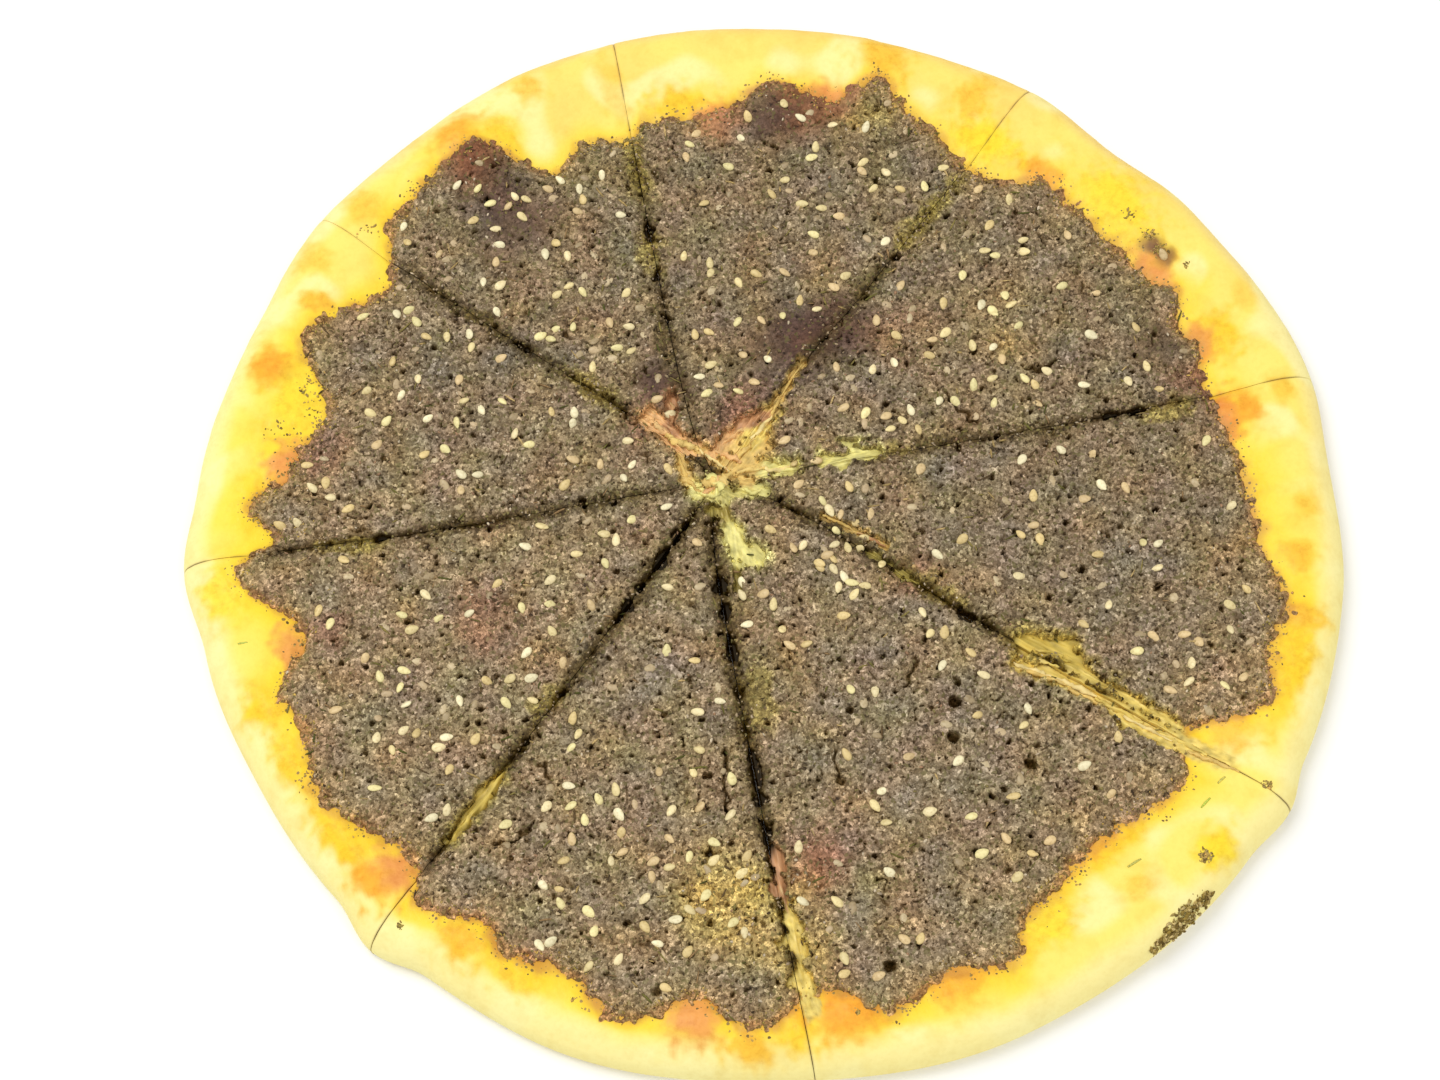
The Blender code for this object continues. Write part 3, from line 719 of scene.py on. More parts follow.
def baked_dough():
    """Dough: tinted by the oven and the oil, with fine pores, a matt skin and specks of herb."""
    finish = Finish("baked_dough")
    oil, toast, specks = [finish.attribute(name) for name in ("oil", "toast", "specks")]
    broad, fine = finish.noise(170.0, 4.0), finish.noise(900.0, 3.0)
    shade = finish.ramp(broad, (0.3, (0.93, 0.89, 0.8)), (0.5, grey(1.0)), (0.72, grey(1.0)))
    color = finish.mixed("MULTIPLY", 0.8, finish.attribute("tint", "Color"), shade)
    skin = finish.ramp(fine, (0.3, (0.95, 0.93, 0.88)), (0.55, grey(1.0)))
    color = finish.mixed("MULTIPLY", 0.6, color, skin)
    mottled = finish.ramp(
        finish.noise(460.0, 6.0, 0.7), (0.36, (0.84, 0.74, 0.6)), (0.5, grey(0.98)),
        (0.64, (1.06, 1.1, 1.12)),
    )
    color = finish.mixed("MULTIPLY", finish.maths("MULTIPLY", toast, 0.6), color, mottled)
    away, parts = finish.cells(1250.0, finish.moved(1300.0, 1.0, 0.0006))
    few = finish.maths("LESS_THAN", parts["Red"], finish.ranged(specks, 0.0, 1.0, 0.0, 0.7))
    dot = finish.maths("LESS_THAN", away, finish.ranged(parts["Green"], 0.0, 1.0, 0.12, 0.5))
    herb = finish.ramp(
        parts["Blue"], (0.0, tone(96, 76, 34)), (0.5, tone(146, 118, 58)),
        (1.0, tone(186, 150, 74)),
    )
    return finish.coated(
        Base_Color=finish.mixed("MIX", finish.maths("MULTIPLY", few, dot), color, herb),
        Roughness=finish.ranged(oil, 0.0, 1.0, 0.62, 0.42),
        Specular_IOR_Level=finish.ranged(oil, 0.0, 1.0, 0.12, 0.3),
        Normal=finish.bump(finish.maths("ADD", broad, fine), 0.35, 0.0003),
    )


def baked_base():
    """The underside: dry and floury, browned in spots where it touched the tray."""
    finish = Finish("baked_base")
    broad, fine = finish.noise(48.0, 5.0, 0.6), finish.noise(1400.0, 2.0)
    spots = finish.add("TexVoronoi", {"feature": "SMOOTH_F1"}, Vector=finish.place, Scale=70.0)
    crust = finish.ramp(
        finish.maths("ADD", broad, finish.maths("MULTIPLY", spots.outputs["Distance"], 0.35)),
        (0.45, tone(146, 88, 40)), (0.6, tone(206, 150, 84)), (0.78, tone(238, 208, 150)),
    )
    flour = finish.ranged(fine, 0.5, 0.66, 0.0, 0.55)
    return finish.coated(
        Base_Color=finish.mixed("MIX", flour, crust, (*tone(246, 236, 212), 1)),
        Roughness=finish.ranged(fine, 0.3, 0.7, 0.7, 0.9),
        Normal=finish.bump(fine, 0.5, 0.0004),
    )


DOUGH_COLUMNS, COLUMN_CROWDING = 176, 0.45
RIM_CLEARANCE, SHOULDER_GAP, RIM_DEPTH, RIM_FADE = 0.08, 0.8, 34, 6
CUT_LIP, CUT_LIP_WIDTH, LOW_SKIN = 0.22, 0.7, 6
DOUGH_ROWS = np.concatenate([
    np.linspace(0, 0.36, 62)[:-1], np.linspace(0.36, 0.74, 36)[:-1], np.linspace(0.74, 1, 50),
])
dough_finish, base_finish = baked_dough(), baked_base()


def dough_skin(number, spots, height, toasted, on_rim):
    """How far the skin's soft lumps, its toasted spots and the torn dough stand out."""
    low = eased(height / LOW_SKIN)
    skin = layered(spots, 0, (0.16, 9, 41), (0.07, 3.1, 42), (0.03, 1.3, 43))
    skin += 0.22 * lumps(spots, 9, (2.5, 5), 0.5, 44)
    skin += toasted * layered(spots, 0.2, (0.1, 1.6, 45))
    torn = layered(spots, 0.55 + 0.6 * fibres(spots), (0.35, 1.4, 65))
    skin = skin * low + bareness(spots) * torn
    for beside in beside_cuts(number, spots):
        skin -= CUT_LIP * on_rim * (1 - eased(beside / CUT_LIP_WIDTH)) * low
    return skin


def dough_slice(number):
    """One slice of the bread, from a grid drawn out between its two cuts."""
    rows = len(DOUGH_ROWS) + len(SIDE_SECTION) - 1
    bpy.ops.mesh.primitive_grid_add(x_subdivisions=DOUGH_COLUMNS, y_subdivisions=rows, size=1)
    slice_ = bpy.context.object
    slice_.name = slice_.data.name = f"dough_slice_{number + 1}"
    share = places_of(slice_)[:, :2] + 0.5
    across = share[:, 0] - COLUMN_CROWDING * np.sin(2 * np.pi * share[:, 0]) / (2 * np.pi)
    row = np.round(share[:, 1] * rows).astype(int)
    first, last = cut_direction(number, ROUND_RADIUS), cut_direction(number + 1, ROUND_RADIUS)
    outer = reach(OUTER_REACH, first + (last - first) * across) - RIM_CLEARANCE
    side = np.array(SIDE_SECTION)
    rowshare = DOUGH_ROWS[np.minimum(row, len(DOUGH_ROWS) - 1)]
    distance = TIP_DISTANCE + (outer - side[0, 0] - SHOULDER_GAP - TIP_DISTANCE) * rowshare
    beyond = np.clip(row - len(DOUGH_ROWS), 0, len(side) - 1)
    on_side = row >= len(DOUGH_ROWS)
    distance = np.where(on_side, outer - side[beyond, 0], distance)
    first = cut_direction(number, distance) + np.degrees(opening(number, distance) / distance)
    last = cut_direction(number + 1, distance) - np.degrees(opening(number + 1, distance) / distance)
    spots = HUB + rays(first + (last - first) * across) * distance[:, None]
    height = bread_top(number, spots, np.where(on_side, side[beyond, 1], np.nan))
    toasted = np.clip(sum(mask for mask, _ in oven_toasting(spots)), 0, 1)
    on_rim = eased((RIM_DEPTH + distance - outer) / RIM_FADE)
    skin = dough_skin(number, spots, height, toasted, on_rim)
    set_places(slice_, np.column_stack([spots, np.maximum(height + skin, 0)]))
    colors, oil = dough_colors(spots)
    set_tint(slice_, colors)
    set_attribute(slice_, "oil", "FLOAT", oil)
    set_attribute(slice_, "toast", "FLOAT", toasted * on_rim)
    beyond = -inside_topping(warped(spots, 6, 2, 48))
    specks = eased(1.1 - beyond / 4) * eased(1 + beyond / 2) * (0.7 + 1.1 * rough(spots, 9, 49))
    set_attribute(slice_, "specks", "FLOAT", np.clip(specks, 0, 1))
    close_below(slice_, 0)
    slice_.data.materials.append(dough_finish)
    slice_.data.materials.append(base_finish)
    for face in slice_.data.polygons:
        face.material_index = int(face.normal.z < -0.99 and face.center.z < 0.05 * MM)
    select_only(slice_)
    bpy.ops.object.shade_smooth_by_angle(angle=math.radians(50))
    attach(slice_, "root")
    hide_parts(f"bread_slice_{number + 1}")
    return slice_


dough_slices = [dough_slice(number) for number in range(len(CUTS))]

# The za'atar: dried thyme, sumac and sesame stirred into oil and spread by hand, which bakes to
# a thin dark crust, crumbly at its edge, pitted where bubbles burst and pressed down by the
# wheel along the cuts.
LAYER_GAP, LAYER_THICKNESS, LAYER_EDGE_THICKNESS, EDGE_THINNING = 0.38, 2.3, 0.9, 9
GROOVE_DEPTH, GROOVE_WIDTH, GAP_DEPTH = (0.56, 0.84), (1.2, 0.5), 4.5
CRUMB_RELIEF, CRUMB_SIZE = 0.45, 7
CRUST_GRID = 0.36
CRUST_MARGIN = 4.4
CRUST_HALF_CUT = 0.1
CRUST_FLOOR = 2.0
# Blisters under the crust, as (x, y, radius, height), and its large pits, as (x, y, radius).
TOPPING_BLISTERS = (
    (16, 44, 11, 1.7), (-20, 34, 7, 1.1), (-54, 84, 10, 0.9), (-66, -24, 9, 0.7),
    (5, -88, 10, 0.7),
)
BIG_PITS = (
    (41.5, -54.5, 1.6), (40, -63, 1.4), (57, -71, 1.6), (19, -115, 1.4), (-33, -116, 1.3),
    (93, -31, 1.1), (43, -50, 0.9), (17, -54, 1.1), (67, -31, 1.0), (-40, -29, 1.0),
    (-58.7, -48.9, 0.8), (-70, -48.7, 0.7),
)
# How ragged and deep the wheel left each cut and how much painted shade lies along it, and the
# cracks, as (from, to).
CUT_WEAR_AND_SHADE = (0.15, 0.15, 0.25, 0.3, 0.5, 0.8, 0.95, 0.6)
CRACKS = (
    ((70, 29.3), (73.4, 28.6)), ((74, 29.4), (78.2, 30.7)), ((49, 24), (56, 16)),
    ((12, -63), (13, -71)), ((-13, -61), (-14, -76)), ((31, -49), (34, -44)),
    ((-67.3, -78.2), (-63.8, -78.5)), ((-63.8, -78.5), (-60.3, -76.7)),
    ((-60.3, -76.7), (-58.4, -73.3)), ((-54.2, -68.4), (-54.3, -71.1)),
    ((-55.9, -60.2), (-54.3, -63.5)), ((-18.7, -83.4), (-17.6, -86.1)),
    ((-35.4, -88.8), (-33.6, -87.6)),
)


def crust_grain(spots):
    """How far the crust's lumps and creases stand out."""
    uneven = warped(spots, 1.3, 0.45, 64)
    grain = 0.22 * lumps(uneven, 1.0, (0.35, 0.7), 0.75, 66)
    grain += 0.3 * lumps(uneven, 0.66, (0.25, 0.45), 0.8, 67)
    grain += 0.16 * rough(warped(spots, 3, 0.8, 89), 4.2, 68) + 0.2 * rough(uneven, 1.5, 69) - 0.24
    creases = eased(1 - np.abs(rough(warped(spots, 1.4, 0.6, 98), 2.8, 99)) / 0.09)
    return grain - 0.55 * creases * eased(layered(spots, 0.4, (1.6, 4.4, 90)))


def crust_holes(spots):
    """How deep the crust's pits, burst bubbles and cracks are."""
    jagged = warped(spots, 1.6, 0.5, 96)
    pits = 1.1 * np.sqrt(lumps(jagged, 2.0, (0.24, 0.46), 0.4, 71))
    pits += 1.8 * np.sqrt(lumps(jagged, 7, (0.4, 0.8), 0.5, 72))
    for x, y, radius in BIG_PITS:
        pits += 2.2 * np.sqrt(np.clip(1 - length(jagged - (x, y)) / radius, 0, 1))
    vein = np.abs(rough(warped(spots, 2.4, 0.8, 73), 6.5, 75))
    cracked = eased(1 - vein / 0.06) * eased((rough(spots, 15, 76) - 0.1) / 0.2)
    cracked *= eased((rough(spots, 4.5, 78) - 0.05) / 0.25)
    for start, end in CRACKS:
        line = near_line(warped(spots, 2.4, 1.1, 77), start, end, 0.75)
        cracked = np.maximum(cracked, 1.4 * line)
    return pits + 0.9 * cracked


def beside_wheel(number, spots):
    """How deep the crust is broken along a slice's two cuts, and how far it sinks at gaps."""
    distance = length(spots - HUB)
    crumbly = 0.5 * rough(spots, 1.2, 81) + 0.5 * lumps(spots, 1.4, (0.4, 0.9), 0.6, 85) - 0.15
    dip, sunk = 0, 0
    for cut in (number, number + 1):
        beside, wear_and_shade = np.abs(off_cut(cut, spots)), CUT_WEAR_AND_SHADE[cut % len(CUTS)]
        ragged = layered(spots, beside, (0.7, 2.2, 79)) + 0.6 * crumbly
        broken = eased(layered(spots, 0.15 + 0.35 * wear_and_shade, (1.8, 9, 80)))
        groove = broken * (GROOVE_DEPTH[0] + GROOVE_DEPTH[1] * wear_and_shade)
        dip = np.maximum(dip, (0.2 + 0.25 * wear_and_shade) * (1 - eased(beside / 3)))
        half_width = GROOVE_WIDTH[0] + GROOVE_WIDTH[1] * wear_and_shade
        dip = np.maximum(dip, groove * (1 - eased(ragged / half_width)))
        for other, near, far, width in OPEN_GAPS:
            if other == cut % len(CUTS):
                ragged = layered(spots, beside + 1.1 * crumbly, (0.7, 3.4, 83))
                open_here = between(distance, near, far, 5)
                hole = width * layered(spots, 0.4, (1.9, 3.6, 84))
                shoulder = eased((2.2 * width - ragged) / 2.2 + 0.5) * (0.7 + crumbly)
                sunk = np.maximum(sunk, 0.7 * open_here * shoulder)
                dip = np.maximum(dip, GAP_DEPTH * open_here * eased((hole - ragged) / 0.7 + 0.5))
    return dip, sunk


def crust_top(number, spots):
    """The crust's height at spots of a slice, and how far each stands out or lies in a hole."""
    inset = layered(spots, inside_topping(warped(spots, 3.4, 1.7, 61)), (0.7, 1.3, 63))
    body = eased(inset / EDGE_THINNING)
    thickness = LAYER_EDGE_THICKNESS + (LAYER_THICKNESS - LAYER_EDGE_THICKNESS) * body
    slow = np.array([noise.noise(Vector((x, y, 10)) / CRUMB_SIZE) for x, y in spots])
    thickness += CRUMB_RELIEF * slow * body + swelling(TOPPING_BLISTERS, spots)
    smooth = np.clip(swelling(TOPPING_BLISTERS + RIM_BLISTERS[:4], spots), 0, 1)
    grain = crust_grain(spots) * (1 - 0.55 * smooth)
    dip, sunk = beside_wheel(number, spots)
    holes = (crust_holes(spots) * (1 - 0.85 * smooth) + dip) * body
    thickness = (thickness + LAYER_GAP) * eased((inset + 1.6) / 3.2) - sunk * body
    thickness += 0.4 * rough(spots, 1.1, 82) * (1 - eased(inset / 4))
    thickness -= (thickness + 1.1) * eased(bareness(spots) / 0.5)
    thickness -= 2.2 * (1 - eased((inset + 2.6) / 2.2))
    return bread_top(number, spots) + thickness + grain - holes, grain - holes


CRUST_TONES = tones(
    plain=(150, 130, 99), grey=(138, 123, 103), warm=(159, 132, 97), olive=(139, 126, 82),
    singed=(172, 122, 66), purple=(88, 61, 48), red=(148, 100, 78), tan=(176, 145, 100),
    rosy=(188, 130, 88), chestnut=(144, 95, 62), soaked=(92, 74, 36), yellow=(204, 176, 96),
)
# Burnt blisters and other places of their own color, as (x, y, radius, tone, how strong).
CRUST_SPOTS = (
    (18, 44, 14, "purple", 0.95), (26, 46, 12, "purple", 0.8), (-20, 34, 10, "purple", 0.9),
    (-54, 84, 16, "purple", 0.75), (31, 112, 10, "rosy", 1.0), (23, 109, 13, "chestnut", 1.0),
    (14, 107, 11, "purple", 0.8), (10, 40, 14, "purple", 0.7), (-63, 103, 13, "chestnut", 1.0),
    (-58, 94, 12, "purple", 0.6), (-80, 100, 8, "purple", 0.5), (0, 22, 14, "red", 0.8),
    (-24, 24, 8, "red", 0.7), (38, 42, 12, "red", 0.35), (-67, -24, 13, "red", 0.55),
    (5, -89, 12, "red", 0.7), (-1, 108, 9, "rosy", 1.0), (33, 112, 8, "red", 0.5),
    (110, 20, 11, "red", 0.6), (103, 32, 8, "purple", 0.6), (-104, -22, 8, "red", 0.6),
    (-104, 24, 9, "red", 0.6), (36, -22, 8, "red", 0.5), (-14, -96, 18, "yellow", 0.75),
    (-2, -108, 14, "yellow", 0.5), (42, -42, 8, "yellow", 0.3), (40, 96, 14, "olive", 0.5),
    (40, 106, 8, "yellow", 0.5), (52, 40, 20, "warm", 0.5), (66, 38, 9, "yellow", 0.35),
    (98, 46, 10, "olive", 0.5), (-30, 100, 16, "olive", 0.5), (86, -30, 24, "grey", 0.6),
    (30, -60, 34, "grey", 0.5), (60, -8, 22, "grey", 0.5), (-30, -40, 20, "grey", 0.5),
    (-64, 40, 26, "grey", 0.4), (-90, -14, 10, "warm", 0.5), (105, -60, 12, "tan", 0.5),
    (80, -82, 14, "warm", 0.5), (-44, 70, 16, "warm", 0.4), (110, -30, 12, "tan", 0.4),
)
BURNT = ("purple", "rosy", "chestnut")
FAR_WAY, NEAR_PAINTED_LIGHT, FAR_PAINTED_SHADE = (0.35, 0.94), 1.08, 0.16


def crust_colors(number, spots):
    """The color of the crust at spots of a slice, and how burnt and smooth each is."""
    edge = inside_topping(warped(spots, 5, 1.5, 84))
    colors = painted_over(np.tile(CRUST_TONES["plain"], (len(spots), 1)), (
        (0.9 * rough(spots, 19, 81), CRUST_TONES["grey"]),
        (0.7 * rough(spots, 14, 82), CRUST_TONES["warm"]),
        (0.35 * rough(spots, 11, 83), CRUST_TONES["olive"]),
        (0.5 * eased(1 - edge / 9), CRUST_TONES["tan"]),
        (0.6 * eased(1 - edge / 2.4), CRUST_TONES["singed"]),
    ))
    uneven = warped(spots, 5, 2.4, 85)
    burnt = np.zeros(len(spots))
    for x, y, radius, name, strength in CRUST_SPOTS:
        mask = strength * eased(1.15 - length(uneven - (x, y)) / radius)
        colors = painted(colors, mask, CRUST_TONES[name])
        if name in BURNT:
            burnt = np.maximum(burnt, mask)
    for cut, beside in zip((number, number + 1), beside_cuts(number, spots)):
        wear_and_shade = CUT_WEAR_AND_SHADE[cut % len(CUTS)]
        soaking = 1 - eased((beside - 0.4 + 1.6 * rough(spots, 6, 87)) / 2.8)
        # Painted shade in the groove along each cut: a darker soaked tone right at the cut, over the
        # oil soaking beside it.
        painted_groove_shade = 1 - eased((beside - 0.2 + 0.9 * rough(spots, 3.2, 101)) / (0.7 + 0.6 * wear_and_shade))
        painted_groove_shade *= eased(layered(spots, wear_and_shade, (1.4, 8, 102))) * eased(edge / 4)
        colors = painted_over(colors, (
            (0.5 * soaking * eased(edge / 6), CRUST_TONES["soaked"]),
            (0.7 * painted_groove_shade, 0.6 * CRUST_TONES["soaked"]),
        ))
    sway = layered(spots, 0, (1, 9, 86), (0.3, 3.6, 88))
    for swayed, (red, green, blue) in (
        (sway, (0.05, 0.04, -0.14)), (rough(spots, 10, 97), (0.08, -0.03, -0.06)),
        (rough(spots, 4.6, 100), (0.16, 0.16, 0.16)),
    ):
        colors = colors * (1 + swayed[:, None] * (red, green, blue))
    # Painted light on the near side of the crust and painted shade toward the far side.
    far_side = eased((spots @ FAR_WAY + 50) / 100)
    colors = colors * (NEAR_PAINTED_LIGHT - FAR_PAINTED_SHADE * far_side[:, None])
    for mask, color in soaked_crust(spots):
        colors = painted(colors, 0.66 * mask, color)
    for mask, color in bare_dough(spots):
        colors = painted(colors, np.clip(1.5 * mask, 0, 0.85), color)
    return colors, burnt


def zaatar_crust():
    """Crushed herbs, each grain its own brown, dull with oil; painted shade in hollows, painted
    light on crests.
    """
    finish = Finish("zaatar")
    relief, burnt = finish.attribute("relief"), finish.attribute("burnt")
    moved = finish.moved(1100.0, 2.0, 0.0009)
    _, parts = finish.cells(1350.0, moved)
    _, dust = finish.cells(3200.0, finish.place)
    shade = finish.ramp(
        parts["Red"], (0.0, (0.26, 0.21, 0.13)), (0.16, (0.52, 0.47, 0.37)),
        (0.45, (0.85, 0.83, 0.79)), (0.7, grey(1.1)), (0.88, (1.46, 1.48, 1.52)),
        (1.0, (2.15, 2.22, 2.36)),
    )
    strength = finish.ranged(burnt, 0.0, 1.0, 0.8, 0.35)
    color = finish.mixed("MULTIPLY", strength, finish.attribute("tint", "Color"), shade)
    flecks = finish.ramp(
        dust["Green"], (0.0, (0.5, 0.47, 0.38)), (0.3, grey(0.88)), (0.7, grey(1.06)),
        (1.0, (1.6, 1.62, 1.7)),
    )
    strength = finish.ranged(burnt, 0.0, 1.0, 0.85, 0.35)
    color = finish.mixed("MULTIPLY", strength, color, flecks)
    herb = finish.maths("MULTIPLY", finish.maths("GREATER_THAN", parts["Blue"], 0.9), 0.55)
    color = finish.mixed("MIX", herb, color, (*tone(104, 98, 50), 1))
    # Painted shade from the relief: near black in the pits, cracks, creases and gaps, and painted
    # light on the crests.
    low = finish.ramp(
        finish.ranged(relief, -1.8, 0.45, 0.0, 1.0), (0.0, (0.14, 0.1, 0.05)),
        (0.35, (0.34, 0.29, 0.2)), (0.6, (0.7, 0.66, 0.6)), (0.72, grey(0.92)),
        (0.86, grey(1.05)), (1.0, grey(1.2)),
    )
    color = finish.mixed("MULTIPLY", 1.0, color, low)
    # Painted shade: small near-black spots from a noise, for shadowed pits between the grains, with
    # no hollow under them.
    painted_pit_shade = finish.ramp(
        finish.noise(640.0, 4.0, 0.7, moved), (0.34, (0.14, 0.1, 0.05)),
        (0.385, (0.5, 0.46, 0.38)), (0.43, grey(1.0)), (0.6, grey(1.03)),
    )
    fine = finish.noise(1500.0, 2.0)
    return finish.coated(
        Base_Color=finish.mixed("MULTIPLY", 0.9, color, painted_pit_shade),
        Roughness=finish.ranged(fine, 0.3, 0.7, 0.55, 0.85),
        Specular_IOR_Level=finish.ranged(relief, -1.2, -0.2, 0.0, 0.25),
        Normal=finish.bump(fine, 0.6, 0.00035),
    )


crust_finish = zaatar_crust()


def crust_sheet(number):
    """A fine flat grid, trimmed to one slice, with its border drawn onto the slice's outline."""
    distance = np.linspace(2, ROUND_RADIUS, 60)
    cuts = (number, number + 1)
    lines = [HUB + rays(cut_direction(cut, distance)) * distance[:, None] for cut in cuts]
    first, last = [cut_direction(cut, ROUND_RADIUS) for cut in cuts]
    arc = np.linspace(first, last, 60)
    lines = np.concatenate([
        lines[0][distance < 128], lines[1][distance < 128],
        HUB + rays(arc) * (reach(TOPPING_REACH, arc) + CRUST_MARGIN)[:, None],
    ])
    low, high = lines.min(0), lines.max(0)
    columns, rows = np.ceil((high - low) / CRUST_GRID).astype(int)
    bpy.ops.mesh.primitive_grid_add(x_subdivisions=columns, y_subdivisions=rows, size=1)
    crust = bpy.context.object
    share = places_of(crust)[:, :2] + 0.5
    column = np.round(share[:, 0] * columns).astype(int)
    row = np.round(share[:, 1] * rows).astype(int)
    spots = low + share * (high - low)
    beside = beside_cuts(number, spots)
    from_hub = spots - HUB
    edge = reach(TOPPING_REACH, heading(from_hub)) + CRUST_MARGIN
    inside = np.minimum(*beside) > CRUST_HALF_CUT
    inside &= (length(from_hub) < edge) & (length(from_hub) > TIP_DISTANCE + 1)
    near = np.zeros((columns + 3, rows + 3), bool)
    for i in range(3):
        for j in range(3):
            near[column[inside] + i, row[inside] + j] = True
    keep = near[column + 1, row + 1]
    distance = np.clip(length(from_hub), TIP_DISTANCE + 1, edge)
    gap = np.degrees(CRUST_HALF_CUT / distance)
    first, last = cut_direction(number, distance) + gap, cut_direction(number + 1, distance) - gap
    middle = (first + last) / 2
    direction = middle + (heading(from_hub) - middle + 180) % 360 - 180
    direction = np.clip(direction, np.minimum(first, middle), np.maximum(last, middle))
    pulled = HUB + rays(direction) * distance[:, None]
    spots = np.where((keep & ~inside)[:, None], pulled, spots)
    set_places(crust, np.column_stack([spots, np.zeros(len(spots))]))
    pick_points(crust, ~keep)
    bpy.ops.mesh.delete(type="VERT")
    bpy.ops.mesh.select_all(action="SELECT")
    bpy.ops.mesh.remove_doubles(threshold=0.03 * MM)
    bpy.ops.mesh.dissolve_degenerate(threshold=0.01 * MM)
    bpy.ops.object.mode_set(mode="OBJECT")
    return crust


def crust_slice(number):
    """One slice's crust, from a flat sheet that is raised grain by grain."""
    crust = crust_sheet(number)
    crust.name = crust.data.name = f"zaatar_crust_{number + 1}"
    spots = places_of(crust)[:, :2] / MM
    height, grain = crust_top(number, spots)
    set_places(crust, np.column_stack([spots, np.maximum(height, CRUST_FLOOR + 0.2)]))
    colors, burnt = crust_colors(number, spots)
    set_attribute(crust, "burnt", "FLOAT", burnt)
    set_tint(crust, colors)
    # The relief, which the crust's material turns into painted shade in the hollows and painted
    # light on the crests.
    set_attribute(crust, "relief", "FLOAT", grain)
    close_below(crust, CRUST_FLOOR)
    crust.data.materials.append(crust_finish)
    select_only(crust)
    bpy.ops.object.shade_smooth_by_angle(angle=math.radians(70))
    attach(crust, "root")
    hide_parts(f"zaatar_layer_{number + 1}")
    return crust


crusts = [crust_slice(number) for number in range(len(CUTS))]

# Sesame: hulled seeds baked golden, some lying loose on the crust, others sunk into it, and
# thicker in some places than in others.
SEED_SIZE, SEED_NARROWING = (3.3, 1.9, 1.2), 0.22
SEED_STANDS, SUNK_STANDS, SEED_TILT = (0.12, 0.34), (-0.42, -0.2), 0.28
SEED_SPACING, CLOSE_SPACING, SEED_MARGIN, SEED_CUT_MARGIN = 3.6, 2.6, 3.0, 3.8
# Seeds on each slice: widely spaced ones, closer ones between them, and sunk ones.
SEEDS_ON = (21, 21, 16, 19, 23, 31, 27, 20)
MORE_SEEDS_ON = (30, 30, 26, 26, 24, 26, 24, 20)
SUNK_SEEDS_ON = (22, 20, 20, 20, 18, 18, 18, 16)
# Places where seeds lie thicker, as (x, y, spread, how much thicker).
SEED_CLUSTERS = (
    (14, -16, 9, 5.0), (-36, -72, 16, 3.0), (104, -50, 12, 2.5), (-20, -96, 16, 2.0),
    (-68, -48, 14, 2.0), (28, 80, 20, 1.5), (60, 40, 18, 1.0),
)
FIRST_SEED_DRAW, SECOND_SEED_DRAW = 100, 300
SEED_TONES = tone_list(
    (242, 224, 172), (236, 216, 156), (226, 200, 138), (246, 234, 190), (222, 194, 142),
    (240, 226, 162),
)
SUNK_TONES = tone_list(
    (184, 163, 124), (202, 182, 142), (170, 149, 112), (198, 174, 134),
)
# A cluster of seeds right of the hub and a few single ones, as (x, y, turn).
SEED_GROUP = (
    (10.2, -12.6, 50), (18.5, -9.3, -35), (17.7, -13.2, 20), (20.8, -14, -80), (23.4, -14.3, 30),
    (24.9, -11.6, 0), (15.8, -15.6, 10), (13.6, -18.4, -50), (16.9, -19.4, -65), (28.4, -19, 65),
    (20.8, -23.1, -10), (-0.4, -23.9, 5), (3.2, -33, 60), (4.5, -37, -40), (20, -5.5, 80),
    (10.5, 9.8, 75), (15.6, 9.6, 10), (23.8, 22.8, 20), (-29.5, 19.6, -10), (107.4, 55.2, -70),
)


def surface_of(thing):
    graph = bpy.context.evaluated_depsgraph_get()
    return BVHTree.FromObject(thing, graph)


crust_surfaces = [surface_of(crust) for crust in crusts]
dough_surfaces = [surface_of(slice_) for slice_ in dough_slices]


def slice_at(spot):
    """The number of the slice that a spot lies on."""
    step = np.subtract(spot, HUB)
    cuts = [cut_direction(cut, length(step)) for cut in range(len(CUTS))]
    return int(np.argmin((heading(step) - cuts) % 360))


def top_at(spot, number):
    """The highest point of the round above a spot, and which way the surface faces there."""
    start = Vector((spot[0] * MM, spot[1] * MM, 1))
    found = [surface.ray_cast(start, Vector((0, 0, -1))) for surface in (
        crust_surfaces[number], dough_surfaces[number],
    )]
    hits = [hit for hit in found if hit[0] is not None]
    if not hits:
        return None
    best = max(hits, key=lambda hit: hit[0].z)
    return best[0], best[1]


def smooth_top(spot, number, spread=0.7):
    """The mean height and facing of the round about a spot, without its single grains."""
    hits = []
    for x, y in ((0, 0), (spread, 0), (-spread, 0), (0, spread), (0, -spread)):
        hit = top_at((spot[0] + x, spot[1] + y), number)
        if hit:
            hits.append(hit)
    if not hits:
        return None
    normal = sum((hit[1] for hit in hits), Vector())
    height = sum(hit[0].z for hit in hits) / len(hits)
    return Vector((spot[0] * MM, spot[1] * MM, height)), normal.normalized()


def laid(spot, number, turn, size, stand, tilt=(0, 0), smooth=True):
    """The placing of a small thing on the round, or None where it would fall beside it."""
    hit = smooth_top(spot, number) if smooth else top_at(spot, number)
    if hit is None:
        return None
    place, normal = hit
    normal = (normal + Vector((tilt[0], tilt[1], 0))).normalized()
    if normal.z < 0.25:
        normal = (normal + Vector((0, 0, 0.6))).normalized()
    lean = Vector((0, 0, 1)).rotation_difference(normal).to_matrix().to_4x4()
    spin = Matrix.Rotation(math.radians(turn), 4, "Z")
    return (
        Matrix.Translation(place + normal * stand * MM) @ lean @ spin @ Matrix.Diagonal((*size, 1))
    )


